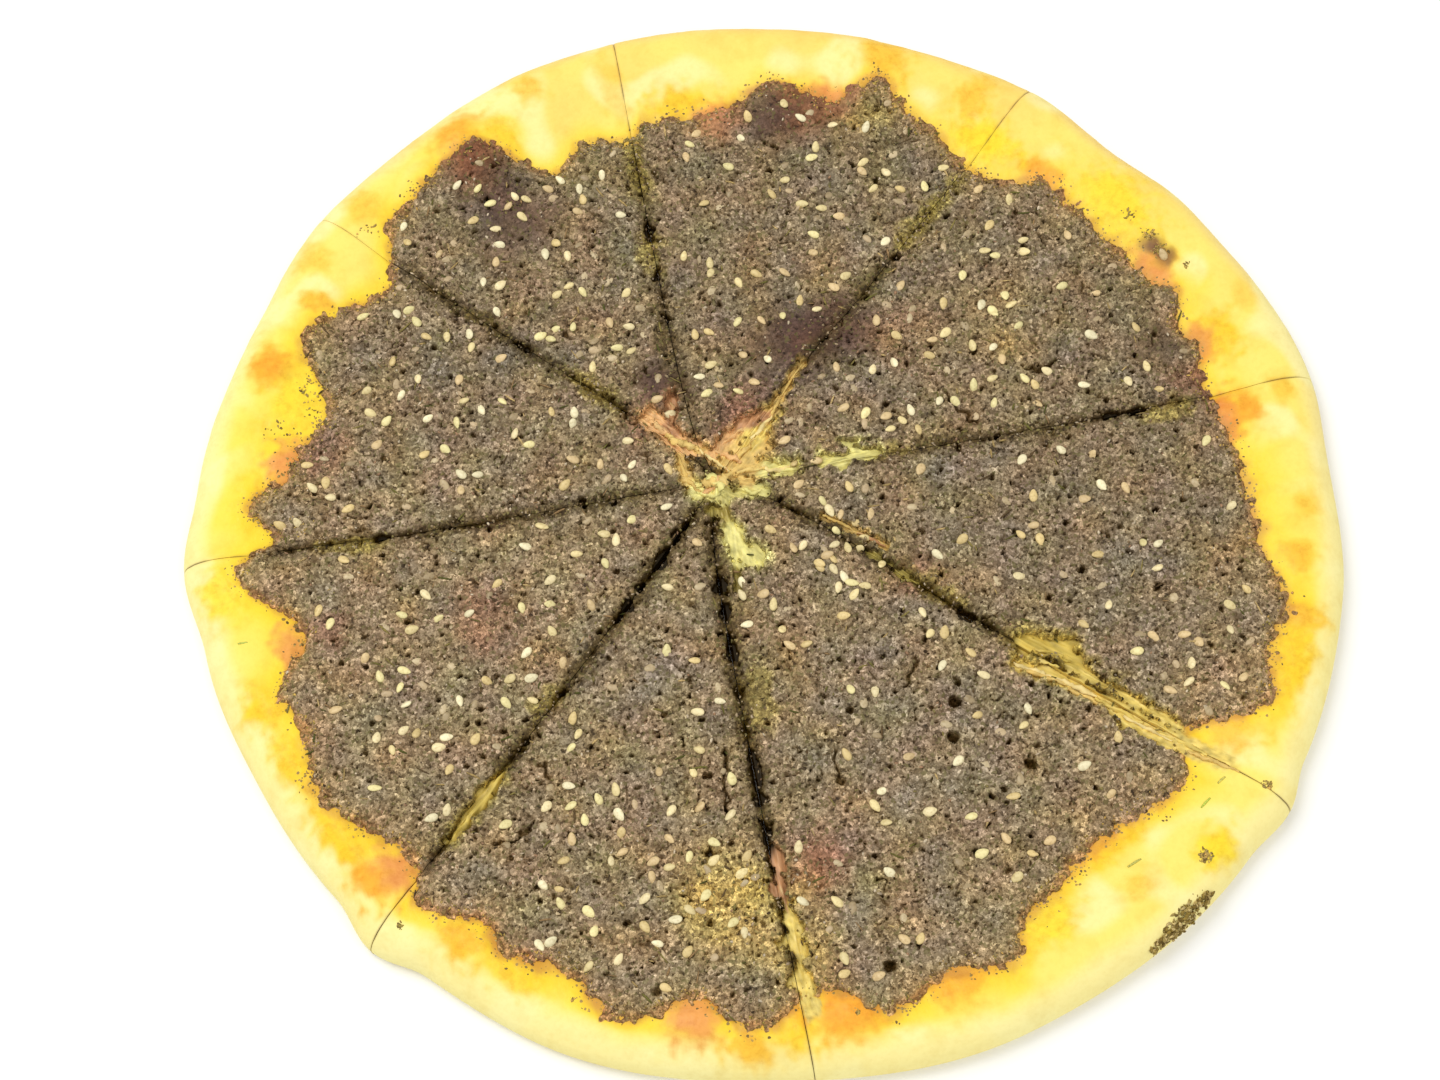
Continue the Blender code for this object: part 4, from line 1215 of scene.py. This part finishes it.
def put_in(name, data):
    """An object for a mesh, a curve, a lamp or a camera, put in the scene."""
    thing = bpy.data.objects.new(name, data)
    bpy.context.scene.collection.objects.link(thing)
    return thing


def lying(thing, cuts=0):
    """Turns a small template onto its side, along x, and gives the places of its points."""
    bpy.ops.object.mode_set(mode="EDIT")
    bpy.ops.mesh.select_all(action="SELECT")
    if cuts:
        bpy.ops.mesh.subdivide(number_cuts=cuts)
    bpy.ops.transform.rotate(value=math.radians(90), orient_axis="Y", center_override=(0, 0, 0))
    bpy.ops.object.mode_set(mode="OBJECT")
    return places_of(thing)


def strewn(name, template, lot, material):
    """Copies of a small template, joined in one mesh: one for each placing and shade of a lot."""
    placings, shades = zip(*lot)
    template.data.calc_loop_triangles()
    corners = places_of(template)
    faces = np.empty(len(template.data.loop_triangles) * 3, np.int32)
    template.data.loop_triangles.foreach_get("vertices", faces)
    placed = np.array(placings)
    points = np.einsum("nij,kj->nki", placed[:, :3, :3], corners) + placed[:, None, :3, 3]
    faces = faces.reshape(1, -1, 3) + len(corners) * np.arange(len(placed))[:, None, None]
    data = bpy.data.meshes.new(name)
    data.from_pydata(points.reshape(-1, 3), [], faces.reshape(-1, 3))
    piece = put_in(name, data)
    set_tint(piece, np.repeat(shades, len(corners), 0))
    data.materials.append(material)
    select_only(piece)
    bpy.ops.object.shade_smooth()
    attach(piece, "root")
    bpy.data.objects.remove(template)
    return piece


def seed_spots(number, draw, count, spacing, taken):
    """Where seeds lie on a slice, and which way each points, by a seeded draw."""
    most = 1 + max(more for _, _, _, more in SEED_CLUSTERS)
    found = []
    while len(found) < count:
        share = draw.random()
        distance = ROUND_RADIUS * math.sqrt(draw.random())
        start, end = [cut_direction(cut, distance) for cut in (number, number + 1)]
        margins = [SEED_CUT_MARGIN, SEED_CUT_MARGIN]
        for place, side in ((0, 1), (1, -1)):
            strips = strips_along(number + place, side, np.array(distance))
            margins[place] += max((float(open_) * width for open_, width in strips), default=0)
        start += math.degrees(margins[0] / distance)
        end -= math.degrees(margins[1] / distance)
        spot = HUB + rays(start + (end - start) * share) * distance
        chance = draw.random() * most
        turn = draw.uniform(0, 180)
        density = 1 + sum(
            more * math.exp(-(math.dist(spot, (x, y)) / spread) ** 2)
            for x, y, spread, more in SEED_CLUSTERS
        )
        allowed = distance > BARE_TIPS[number] + 2 * SEED_MARGIN
        inside = inside_topping(np.array([spot]))[0] > SEED_MARGIN
        clear = all(math.dist(spot, other) > spacing for other, _ in found + taken)
        if start < end and allowed and inside and clear and chance < density:
            found.append((spot, turn))
    return found


def sesame_finish():
    """Seed coats: each its own gold, paler down the middle, with a soft shine from the oil."""
    finish = Finish("sesame_seeds")
    fine = finish.noise(1600.0, 2.0)
    shade = finish.ramp(fine, (0.3, (0.74, 0.68, 0.58)), (0.5, grey(1.0)), (0.75, grey(1.1)))
    return finish.coated(
        Base_Color=finish.mixed("MULTIPLY", 0.7, finish.attribute("tint", "Color"), shade),
        Roughness=0.42, Specular_IOR_Level=0.4,
    )


sesame = sesame_finish()
seed_lots = {"loose": [], "sunk": []}
for number in range(len(CUTS)):
    spots = seed_spots(
        number, random.Random(FIRST_SEED_DRAW + number), SEEDS_ON[number], SEED_SPACING, [],
    )
    draw = random.Random(SECOND_SEED_DRAW + number)
    spots += seed_spots(number, draw, MORE_SEEDS_ON[number], CLOSE_SPACING, spots)
    sunk = seed_spots(number, draw, SUNK_SEEDS_ON[number], CLOSE_SPACING, spots)
    spots += [((x, y), turn) for x, y, turn in SEED_GROUP if slice_at((x, y)) == number]
    for kind, lot, stands, shades in (
        ("loose", spots, SEED_STANDS, SEED_TONES), ("sunk", sunk, SUNK_STANDS, SUNK_TONES),
    ):
        for spot, turn in lot:
            size = draw.uniform(0.84, 1.06)
            wide = size * draw.uniform(0.96, 1.2)
            stand = draw.uniform(*stands)
            tilt = (draw.uniform(-SEED_TILT, SEED_TILT), draw.uniform(-SEED_TILT, SEED_TILT))
            turn += 180 * draw.randrange(2)
            shape = (size, wide, draw.uniform(0.8, 1.0))
            color = np.array(draw.choice(shades)) * draw.uniform(0.86, 1.06)
            seed_lots[kind].append((laid(spot, number, turn, shape, stand, tilt), color))

for kind, lot in seed_lots.items():
    bpy.ops.mesh.primitive_uv_sphere_add(segments=12, ring_count=8, radius=1)
    seed = bpy.context.object
    shape = lying(seed)
    shape[:, 1] *= 1 - SEED_NARROWING * shape[:, 0] - 0.1 * shape[:, 0] ** 2
    shape[:, 2] *= 1 - 0.12 * shape[:, 0]
    set_places(seed, shape * SEED_SIZE / 2)
    strewn(f"sesame_{kind}", seed, lot, sesame)

# Loose crumbs of the topping: lumps of crushed thyme and sumac that lie all over the crust,
# scatter over the dough beyond its edge and stick to what the wheel laid bare.
CRUMB_TONES = tone_list(
    (192, 172, 142), (170, 148, 116), (150, 130, 98), (124, 104, 74), (96, 76, 48), (72, 56, 34),
    (134, 120, 72), (156, 122, 92), (208, 190, 160),
)
EDGE_CRUMB_TONES = tone_list(
    (182, 156, 92), (164, 138, 74), (200, 168, 86), (144, 118, 60), (206, 166, 90),
    (160, 142, 68), (122, 98, 50),
)
CRUMBS_ON, EDGE_CRUMBS_ON, CUT_CRUMBS_ON = 560, 300, 300
CRUMB_SHAPE, CRUMB_RAGGEDNESS = ((0.8, 2.0), (0.55, 1.0), (0.4, 0.75)), 0.35
CRUMB_SIZES, EDGE_CRUMB_SIZES, CUT_CRUMB_SIZES = (0.2, 0.44), (0.14, 0.36), (0.22, 0.46)
MOST_BARE = 0.12
# Dabs of topping on the rim, as (x, y, spread, crumbs), and the clump on its shoulder.
DABS = (
    (92.1, -97.2, 1.5, 80), (-89.4, -95.6, 0.7, 18), (109, -82.3, 1.2, 26), (-51.2, -115.8, 0.5, 6),
    (10.5, -124.5, 0.8, 8), (104.6, 61, 2.0, 54), (106.6, 56.4, 1.8, 60), (112.6, 51.8, 1.0, 18),
    (40, 112, 3.0, 34), (46, 106, 2.4, 26), (-107.4, 41, 3.4, 26), (-106, 34.3, 3.4, 20),
    (-114.6, 30.7, 3.4, 16), (-112, 21.7, 4.4, 26), (-118, 13.7, 3.0, 22), (-121, 7.6, 2.0, 12),
    (-110, 5, 3.4, 18), (-91, 84, 3.0, 16), (101, 68, 2.6, 14),
)
SPILL_FROM, SPILL_TO, SPILL_SLICE, SPILL_CRUMBS = (77.6, -116.8), (92.6, -105), 6, 330
SPILL_SIZES, SPILL_HEAP = (0.24, 0.6), 0.7
SPILL_TONES = tone_list((172, 148, 84), (144, 120, 54), (122, 98, 42), (200, 176, 116))
crumb_draw = random.Random(41)


def zaatar_bits():
    """Crushed herb and spice: matt, each bit its own brown or green."""
    finish = Finish("zaatar_bits")
    fine = finish.noise(2600.0, 2.0)
    shade = finish.ramp(fine, (0.3, grey(0.55)), (0.5, grey(0.95)), (0.7, grey(1.3)))
    return finish.coated(
        Base_Color=finish.mixed("MULTIPLY", 0.8, finish.attribute("tint", "Color"), shade),
        Roughness=0.8, Specular_IOR_Level=0.25,
    )


bits_finish = zaatar_bits()
crumbs = {"zaatar_crumbs": [], "edge_crumbs": []}


def add_crumb(name, spot, number, size, shades, stand=0.0):
    """Adds a crumb to a lot, at a spot of a slice, if the round is below it."""
    shape = [size * crumb_draw.uniform(*share) for share in CRUMB_SHAPE]
    turn = crumb_draw.uniform(0, 360)
    placing = laid(spot, number % len(CUTS), turn, shape, stand, smooth=False)
    if placing is not None:
        light = crumb_draw.uniform(0.8, 1.15)
        crumbs[name].append((placing, np.array(crumb_draw.choice(shades)) * light))


def topping_reach(direction):
    return float(reach(TOPPING_REACH, np.array(direction)))


for number in range(len(CUTS)):
    first, last = cut_direction(number, 100), cut_direction(number + 1, 100)
    lot = []
    for _ in range(CRUMBS_ON):
        direction = crumb_draw.uniform(first, last)
        distance = topping_reach(direction) * math.sqrt(crumb_draw.uniform(0.01, 1))
        size = crumb_draw.uniform(*CRUMB_SIZES)
        lot.append((HUB + rays(direction) * distance, number, size, CRUMB_TONES))
    for _ in range(EDGE_CRUMBS_ON):
        direction = crumb_draw.uniform(first, last)
        over = crumb_draw.triangular(-3.5, 2.2, -1.4)
        spot = HUB + rays(direction) * (topping_reach(direction) + over)
        size = crumb_draw.uniform(*EDGE_CRUMB_SIZES) * (1 if over < 0.8 else 0.6)
        shades = EDGE_CRUMB_TONES if over < 0.3 else EDGE_CRUMB_TONES[:3]
        add_crumb("edge_crumbs", spot, number, size, shades)
    for _ in range(CUT_CRUMBS_ON):
        distance = crumb_draw.uniform(6, 112)
        off = crumb_draw.gauss(0, 2.0)
        direction = cut_direction(number, distance) + math.degrees(off / distance)
        size = crumb_draw.uniform(*CUT_CRUMB_SIZES)
        side = number if off > 0 else number - 1
        lot.append((HUB + rays(direction) * distance, side, size, CRUMB_TONES[1:7]))
    spots = np.array([spot for spot, *_ in lot])
    for values, bare, inset in zip(lot, bareness(spots), inside_topping(spots)):
        if bare < MOST_BARE and inset > 0:
            add_crumb("zaatar_crumbs", *values)
for x, y, spread, count in DABS:
    for _ in range(count):
        spot = np.array((x, y)) + (crumb_draw.gauss(0, spread / 2), crumb_draw.gauss(0, spread / 2))
        size = crumb_draw.triangular(0.1, 0.5, 0.2)
        add_crumb("edge_crumbs", spot, slice_at(spot), size, EDGE_CRUMB_TONES)
run = np.subtract(SPILL_TO, SPILL_FROM)
aside = np.array((run[1], -run[0])) / math.hypot(*run)
for _ in range(SPILL_CRUMBS):
    share = crumb_draw.random()
    bulge = 0.7 + 1.5 * math.sin(math.pi * share**1.5)
    off = max(-1.2, min(1.2, crumb_draw.gauss(0, 0.55))) * bulge
    spot = SPILL_FROM + run * share + aside * off
    heap = SPILL_HEAP * (1 - (off / bulge) ** 2) * crumb_draw.random()
    size = crumb_draw.uniform(*SPILL_SIZES)
    add_crumb("edge_crumbs", spot, SPILL_SLICE, size, SPILL_TONES, heap)

for name, lot in crumbs.items():
    bpy.ops.mesh.primitive_ico_sphere_add(subdivisions=1, radius=1 * MM)
    crumb = bpy.context.object
    shape = places_of(crumb)
    ragged = np.random.default_rng(5).uniform(-1, 1, (len(shape), 1))
    set_places(crumb, shape * (1 + CRUMB_RAGGEDNESS * ragged) / MM)
    strewn(name, crumb, lot, bits_finish)

# Shreds: bits of dried thyme leaf and stalk, green, brown or straw-colored, that lie flat on
# the crust, with a few on the rim.
SHREDS_ON = 52
SHRED_TONES = tone_list(
    (110, 104, 48), (136, 122, 66), (172, 146, 92), (196, 168, 112), (92, 72, 44), (84, 84, 34),
    (150, 120, 80),
)
SHRED_STAND, SHRED_TILT, SHRED_BEND, SHRED_TAPER = 0.16, 0.12, 0.9, 1.6
# Shreds on the rim, as (x, y, turn, length, tone).
RIM_SHREDS = (
    (76.5, -97, 25, 3.6, tone(196, 190, 96)), (94.5, -85, 40, 3.2, tone(196, 206, 84)),
    (-123.5, -24.5, 80, 3.4, tone(190, 196, 90)), (-100, -70, 60, 2.4, tone(190, 176, 90)),
    (99, -80, 35, 2.4, tone(206, 196, 96)),
)
shred_draw = random.Random(61)
shreds = []
for number in range(len(CUTS)):
    first, last = cut_direction(number, 100), cut_direction(number + 1, 100)
    for _ in range(SHREDS_ON):
        direction = shred_draw.uniform(first, last)
        distance = topping_reach(direction) * math.sqrt(shred_draw.uniform(0.02, 1.02))
        spot = HUB + rays(direction) * distance
        long = shred_draw.triangular(0.9, 4.2, 1.5)
        wide = shred_draw.uniform(0.14, 0.3)
        tilt = [shred_draw.uniform(-SHRED_TILT, SHRED_TILT) for _ in "xy"]
        turn = shred_draw.uniform(0, 360)
        placing = laid(spot, number, turn, (long, wide, wide), SHRED_STAND, tilt)
        color = np.array(shred_draw.choice(SHRED_TONES)) * shred_draw.uniform(0.85, 1.1)
        if placing is not None:
            shreds.append((placing, color))
for x, y, turn, long, color in RIM_SHREDS:
    placing = laid((x, y), slice_at((x, y)), turn, (long, 0.32, 0.2), SHRED_STAND / 2)
    shreds.append((placing, color))
bpy.ops.mesh.primitive_cylinder_add(vertices=6, radius=1 * MM, depth=1 * MM)
shred = bpy.context.object
shape = lying(shred, 1) / MM
shape[:, 1] += SHRED_BEND * (0.25 - shape[:, 0] ** 2)
shape[:, 1:] *= 1 - SHRED_TAPER * shape[:, :1] ** 2
set_places(shred, shape)
strewn("thyme_shreds", shred, shreds, bits_finish)

# Strands of torn dough: soft strings that the wheel pulled up at the hub and along the
# lower-right cut, baked peach and gold, each lying on the crust and thinning to its ends.
# Each is given as its points from end to end, its half width and its tone.
STRANDS = (
    (((-12.6, 6.2), (-11, 6.6), (-7, 6.6), (-5.2, 7.6)), 1.2, "golden"),
    (((-11.6, 9.4), (-10.4, 8), (-8, 5), (-7.4, 3)), 1.1, "pale_green"),
    (((-12.4, 4.2), (-10.6, 5), (-7.4, 7.8), (-6.4, 9.6)), 0.9, "peach"),
    (((-24.4, 26.6), (-22, 23.4), (-19.6, 20.6)), 0.9, "peach"),
    (((-20.4, 21), (-17.4, 18.6), (-14.4, 17.2), (-12.4, 15.6)), 1.0, "golden"),
    (((-23, 24.2), (-20.4, 22.2), (-19, 19.6)), 0.7, "rusty"),
    (((-18.4, 30), (-18, 27), (-18.6, 23.4)), 0.7, "rusty"),
    (((-12.8, 16.4), (-9.6, 12.8), (-5.2, 8.4)), 0.45, "cream"),
    (((-17.6, 15), (-16.8, 11), (-15.4, 7.4), (-13, 5)), 0.6, "golden"),
    (((-4, 12), (-1.6, 14.4), (1.4, 17.4)), 0.7, "golden"),
    (((0.4, 17.4), (3.2, 20), (6, 23.4)), 0.6, "cream"),
    (((5.6, 23), (7.4, 25.4), (9, 28.4)), 0.5, "golden"),
    (((-8.4, 15), (-5, 13), (-2.4, 11.4)), 0.7, "peach"),
    (((-6.4, 16.8), (-4, 18.6), (-1.4, 20.4)), 0.6, "peach"),
    (((-4.6, 8), (-1, 9.2), (3, 9.2)), 0.6, "golden"),
    (((2.4, 9.6), (5.6, 8.4), (9.4, 9.4)), 0.6, "cream"),
    (((9, 28.6), (11.4, 32), (14.2, 36)), 0.4, "golden"),
    (((-13.6, 5), (-11, 3.4), (-8, 3.6)), 0.6, "pale_green"),
    (((-2.4, 4.2), (-0.4, 3), (1.8, 3.8)), 0.5, "pale_green"),
    (((16, -4.8), (19.6, -7), (23, -9.4)), 0.45, "golden"),
    (((23.6, -10), (26.6, -11.8), (30, -14)), 0.4, "rusty"),
    (((56.5, -46.2), (61, -48.2), (65.5, -50.4)), 0.7, "cream"),
    (((58, -47.8), (63, -50), (68, -52.4)), 0.6, "golden"),
    (((66, -50.4), (70, -53.2), (74.5, -56.4)), 0.7, "cream"),
    (((67.5, -53), (71.5, -56), (76, -59.4)), 0.6, "golden"),
    (((74, -56.4), (79, -60), (84, -63.6)), 0.6, "straw"),
    (((80, -61.6), (85, -65.4), (90, -69)), 0.5, "cream"),
    (((87, -65.4), (92, -69.6), (97, -73.4)), 0.6, "straw"),
    (((93, -71.8), (98, -75.4), (103, -78.6)), 0.5, "golden"),
    (((62, -43.4), (66, -44.6), (69.6, -47.4)), 0.5, "olive_yellow"),
    (((60, -44.6), (63.4, -46.4), (67, -48.6)), 0.5, "straw"),
)
STRAND_LIFT, STRAND_LUMPS, STRAND_FLATNESS = 0.12, ((1.9, 0.7), (0.8, 0.5)), (1, 1, 0.7)


def strand(points, width, name, draw):
    """One string of dough, drawn as a curve with a thick middle and fine ends."""
    line = bpy.data.curves.new("strand", "CURVE")
    line.dimensions = "3D"
    line.bevel_depth, line.bevel_resolution, line.resolution_u = 1 * MM, 2, 12
    line.use_fill_caps = True
    path = line.splines.new("BEZIER")
    path.bezier_points.add(len(points) - 1)
    for step, (point, (x, y)) in enumerate(zip(path.bezier_points, points)):
        hit = smooth_top((x, y), slice_at((x, y)), 1.0)
        lift = STRAND_LIFT * width + draw.uniform(-0.15, 0.2)
        point.co = hit[0] + Vector((0, 0, lift * MM))
        point.handle_left_type = point.handle_right_type = "AUTO"
        share = step / (len(points) - 1)
        point.radius = width * (0.3 + 0.7 * math.sin(math.pi * min(0.97, 0.12 + 0.8 * share)))
    select_only(put_in("strand", line))
    bpy.ops.object.convert(target="MESH")
    string = bpy.context.object
    places = places_of(string) / MM
    for size, most in STRAND_LUMPS:
        shifts = [rough(places[:, :2] + turn * places[:, 2:], size, 91) for turn in (1, -1, 2)]
        places += most * width * np.stack(shifts, -1) * STRAND_FLATNESS
    set_places(string, places)
    shade = 1 + 0.28 * rough(places[:, :2], 2.2, 94)[:, None]
    faded = 0.5 * rough(places[:, :2], 4, 95)
    set_tint(string, painted(BARE_TONES[name] * shade, faded, BARE_TONES["cream"]))
    return string


strand_draw = random.Random(17)
strings = [strand(*values, strand_draw) for values in STRANDS]
select_only(strings[0])
for string in strings:
    string.select_set(True)
bpy.ops.object.join()
torn_strands = bpy.context.object
torn_strands.name = torn_strands.data.name = "torn_strands"
torn_strands.data.materials.clear()
torn_strands.data.materials.append(dough_finish)
bpy.ops.object.shade_smooth()
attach(torn_strands, "root")

# The floor, the light and the camera: a pale matt floor under the bread, soft light from all
# round with two large softboxes, and a camera that looks down as in the photograph.
FLOOR_SIZE, FLOOR_DROP, ROOM_LIGHT = 4, 0.0002, 0.63
bpy.ops.mesh.primitive_plane_add(size=FLOOR_SIZE, location=(0, 0, -FLOOR_DROP))
floor = bpy.context.object
floor.name = "floor"
floor.data.materials.append(
    Finish("pale_floor").coated(Base_Color=(0.95, 0.95, 0.94, 1), Roughness=0.8)
)

world = bpy.context.scene.world or bpy.data.worlds.new("soft_room")
bpy.context.scene.world = world
world.use_nodes = True
world.node_tree.nodes["Background"].inputs["Color"].default_value = (1, 1, 1, 1)
world.node_tree.nodes["Background"].inputs["Strength"].default_value = ROOM_LIGHT


def softbox(name, place, size, power):
    """A square soft light that points at the bread."""
    light = bpy.data.lights.new(name, "AREA")
    light.size, light.energy = size, power
    lamp = put_in(name, light)
    lamp.location = place
    lamp.rotation_euler = (-Vector(place)).to_track_quat("-Z", "Y").to_euler()


softbox("window_light", (-0.5, 0.35, 1.1), 0.7, 7.6)
softbox("fill_light", (0.6, -0.7, 1.2), 1.0, 5)

CAMERA_PLACE = Vector((-9.43, -213.38, 512.1)) * MM
CAMERA_DOWN, CAMERA_ROLL = 67.98, -5.48
camera = put_in("camera", bpy.data.cameras.new("camera"))
camera.data.lens, camera.data.sensor_width, camera.data.clip_start = 56.8, 36, 0.01
tilt = Matrix.Rotation(math.radians(90 - CAMERA_DOWN), 4, "X")
roll = Matrix.Rotation(math.radians(CAMERA_ROLL), 4, "Z")
camera.matrix_world = Matrix.Translation(CAMERA_PLACE) @ tilt @ roll
bpy.context.scene.camera = camera
bpy.context.scene.view_settings.view_transform = "Standard"
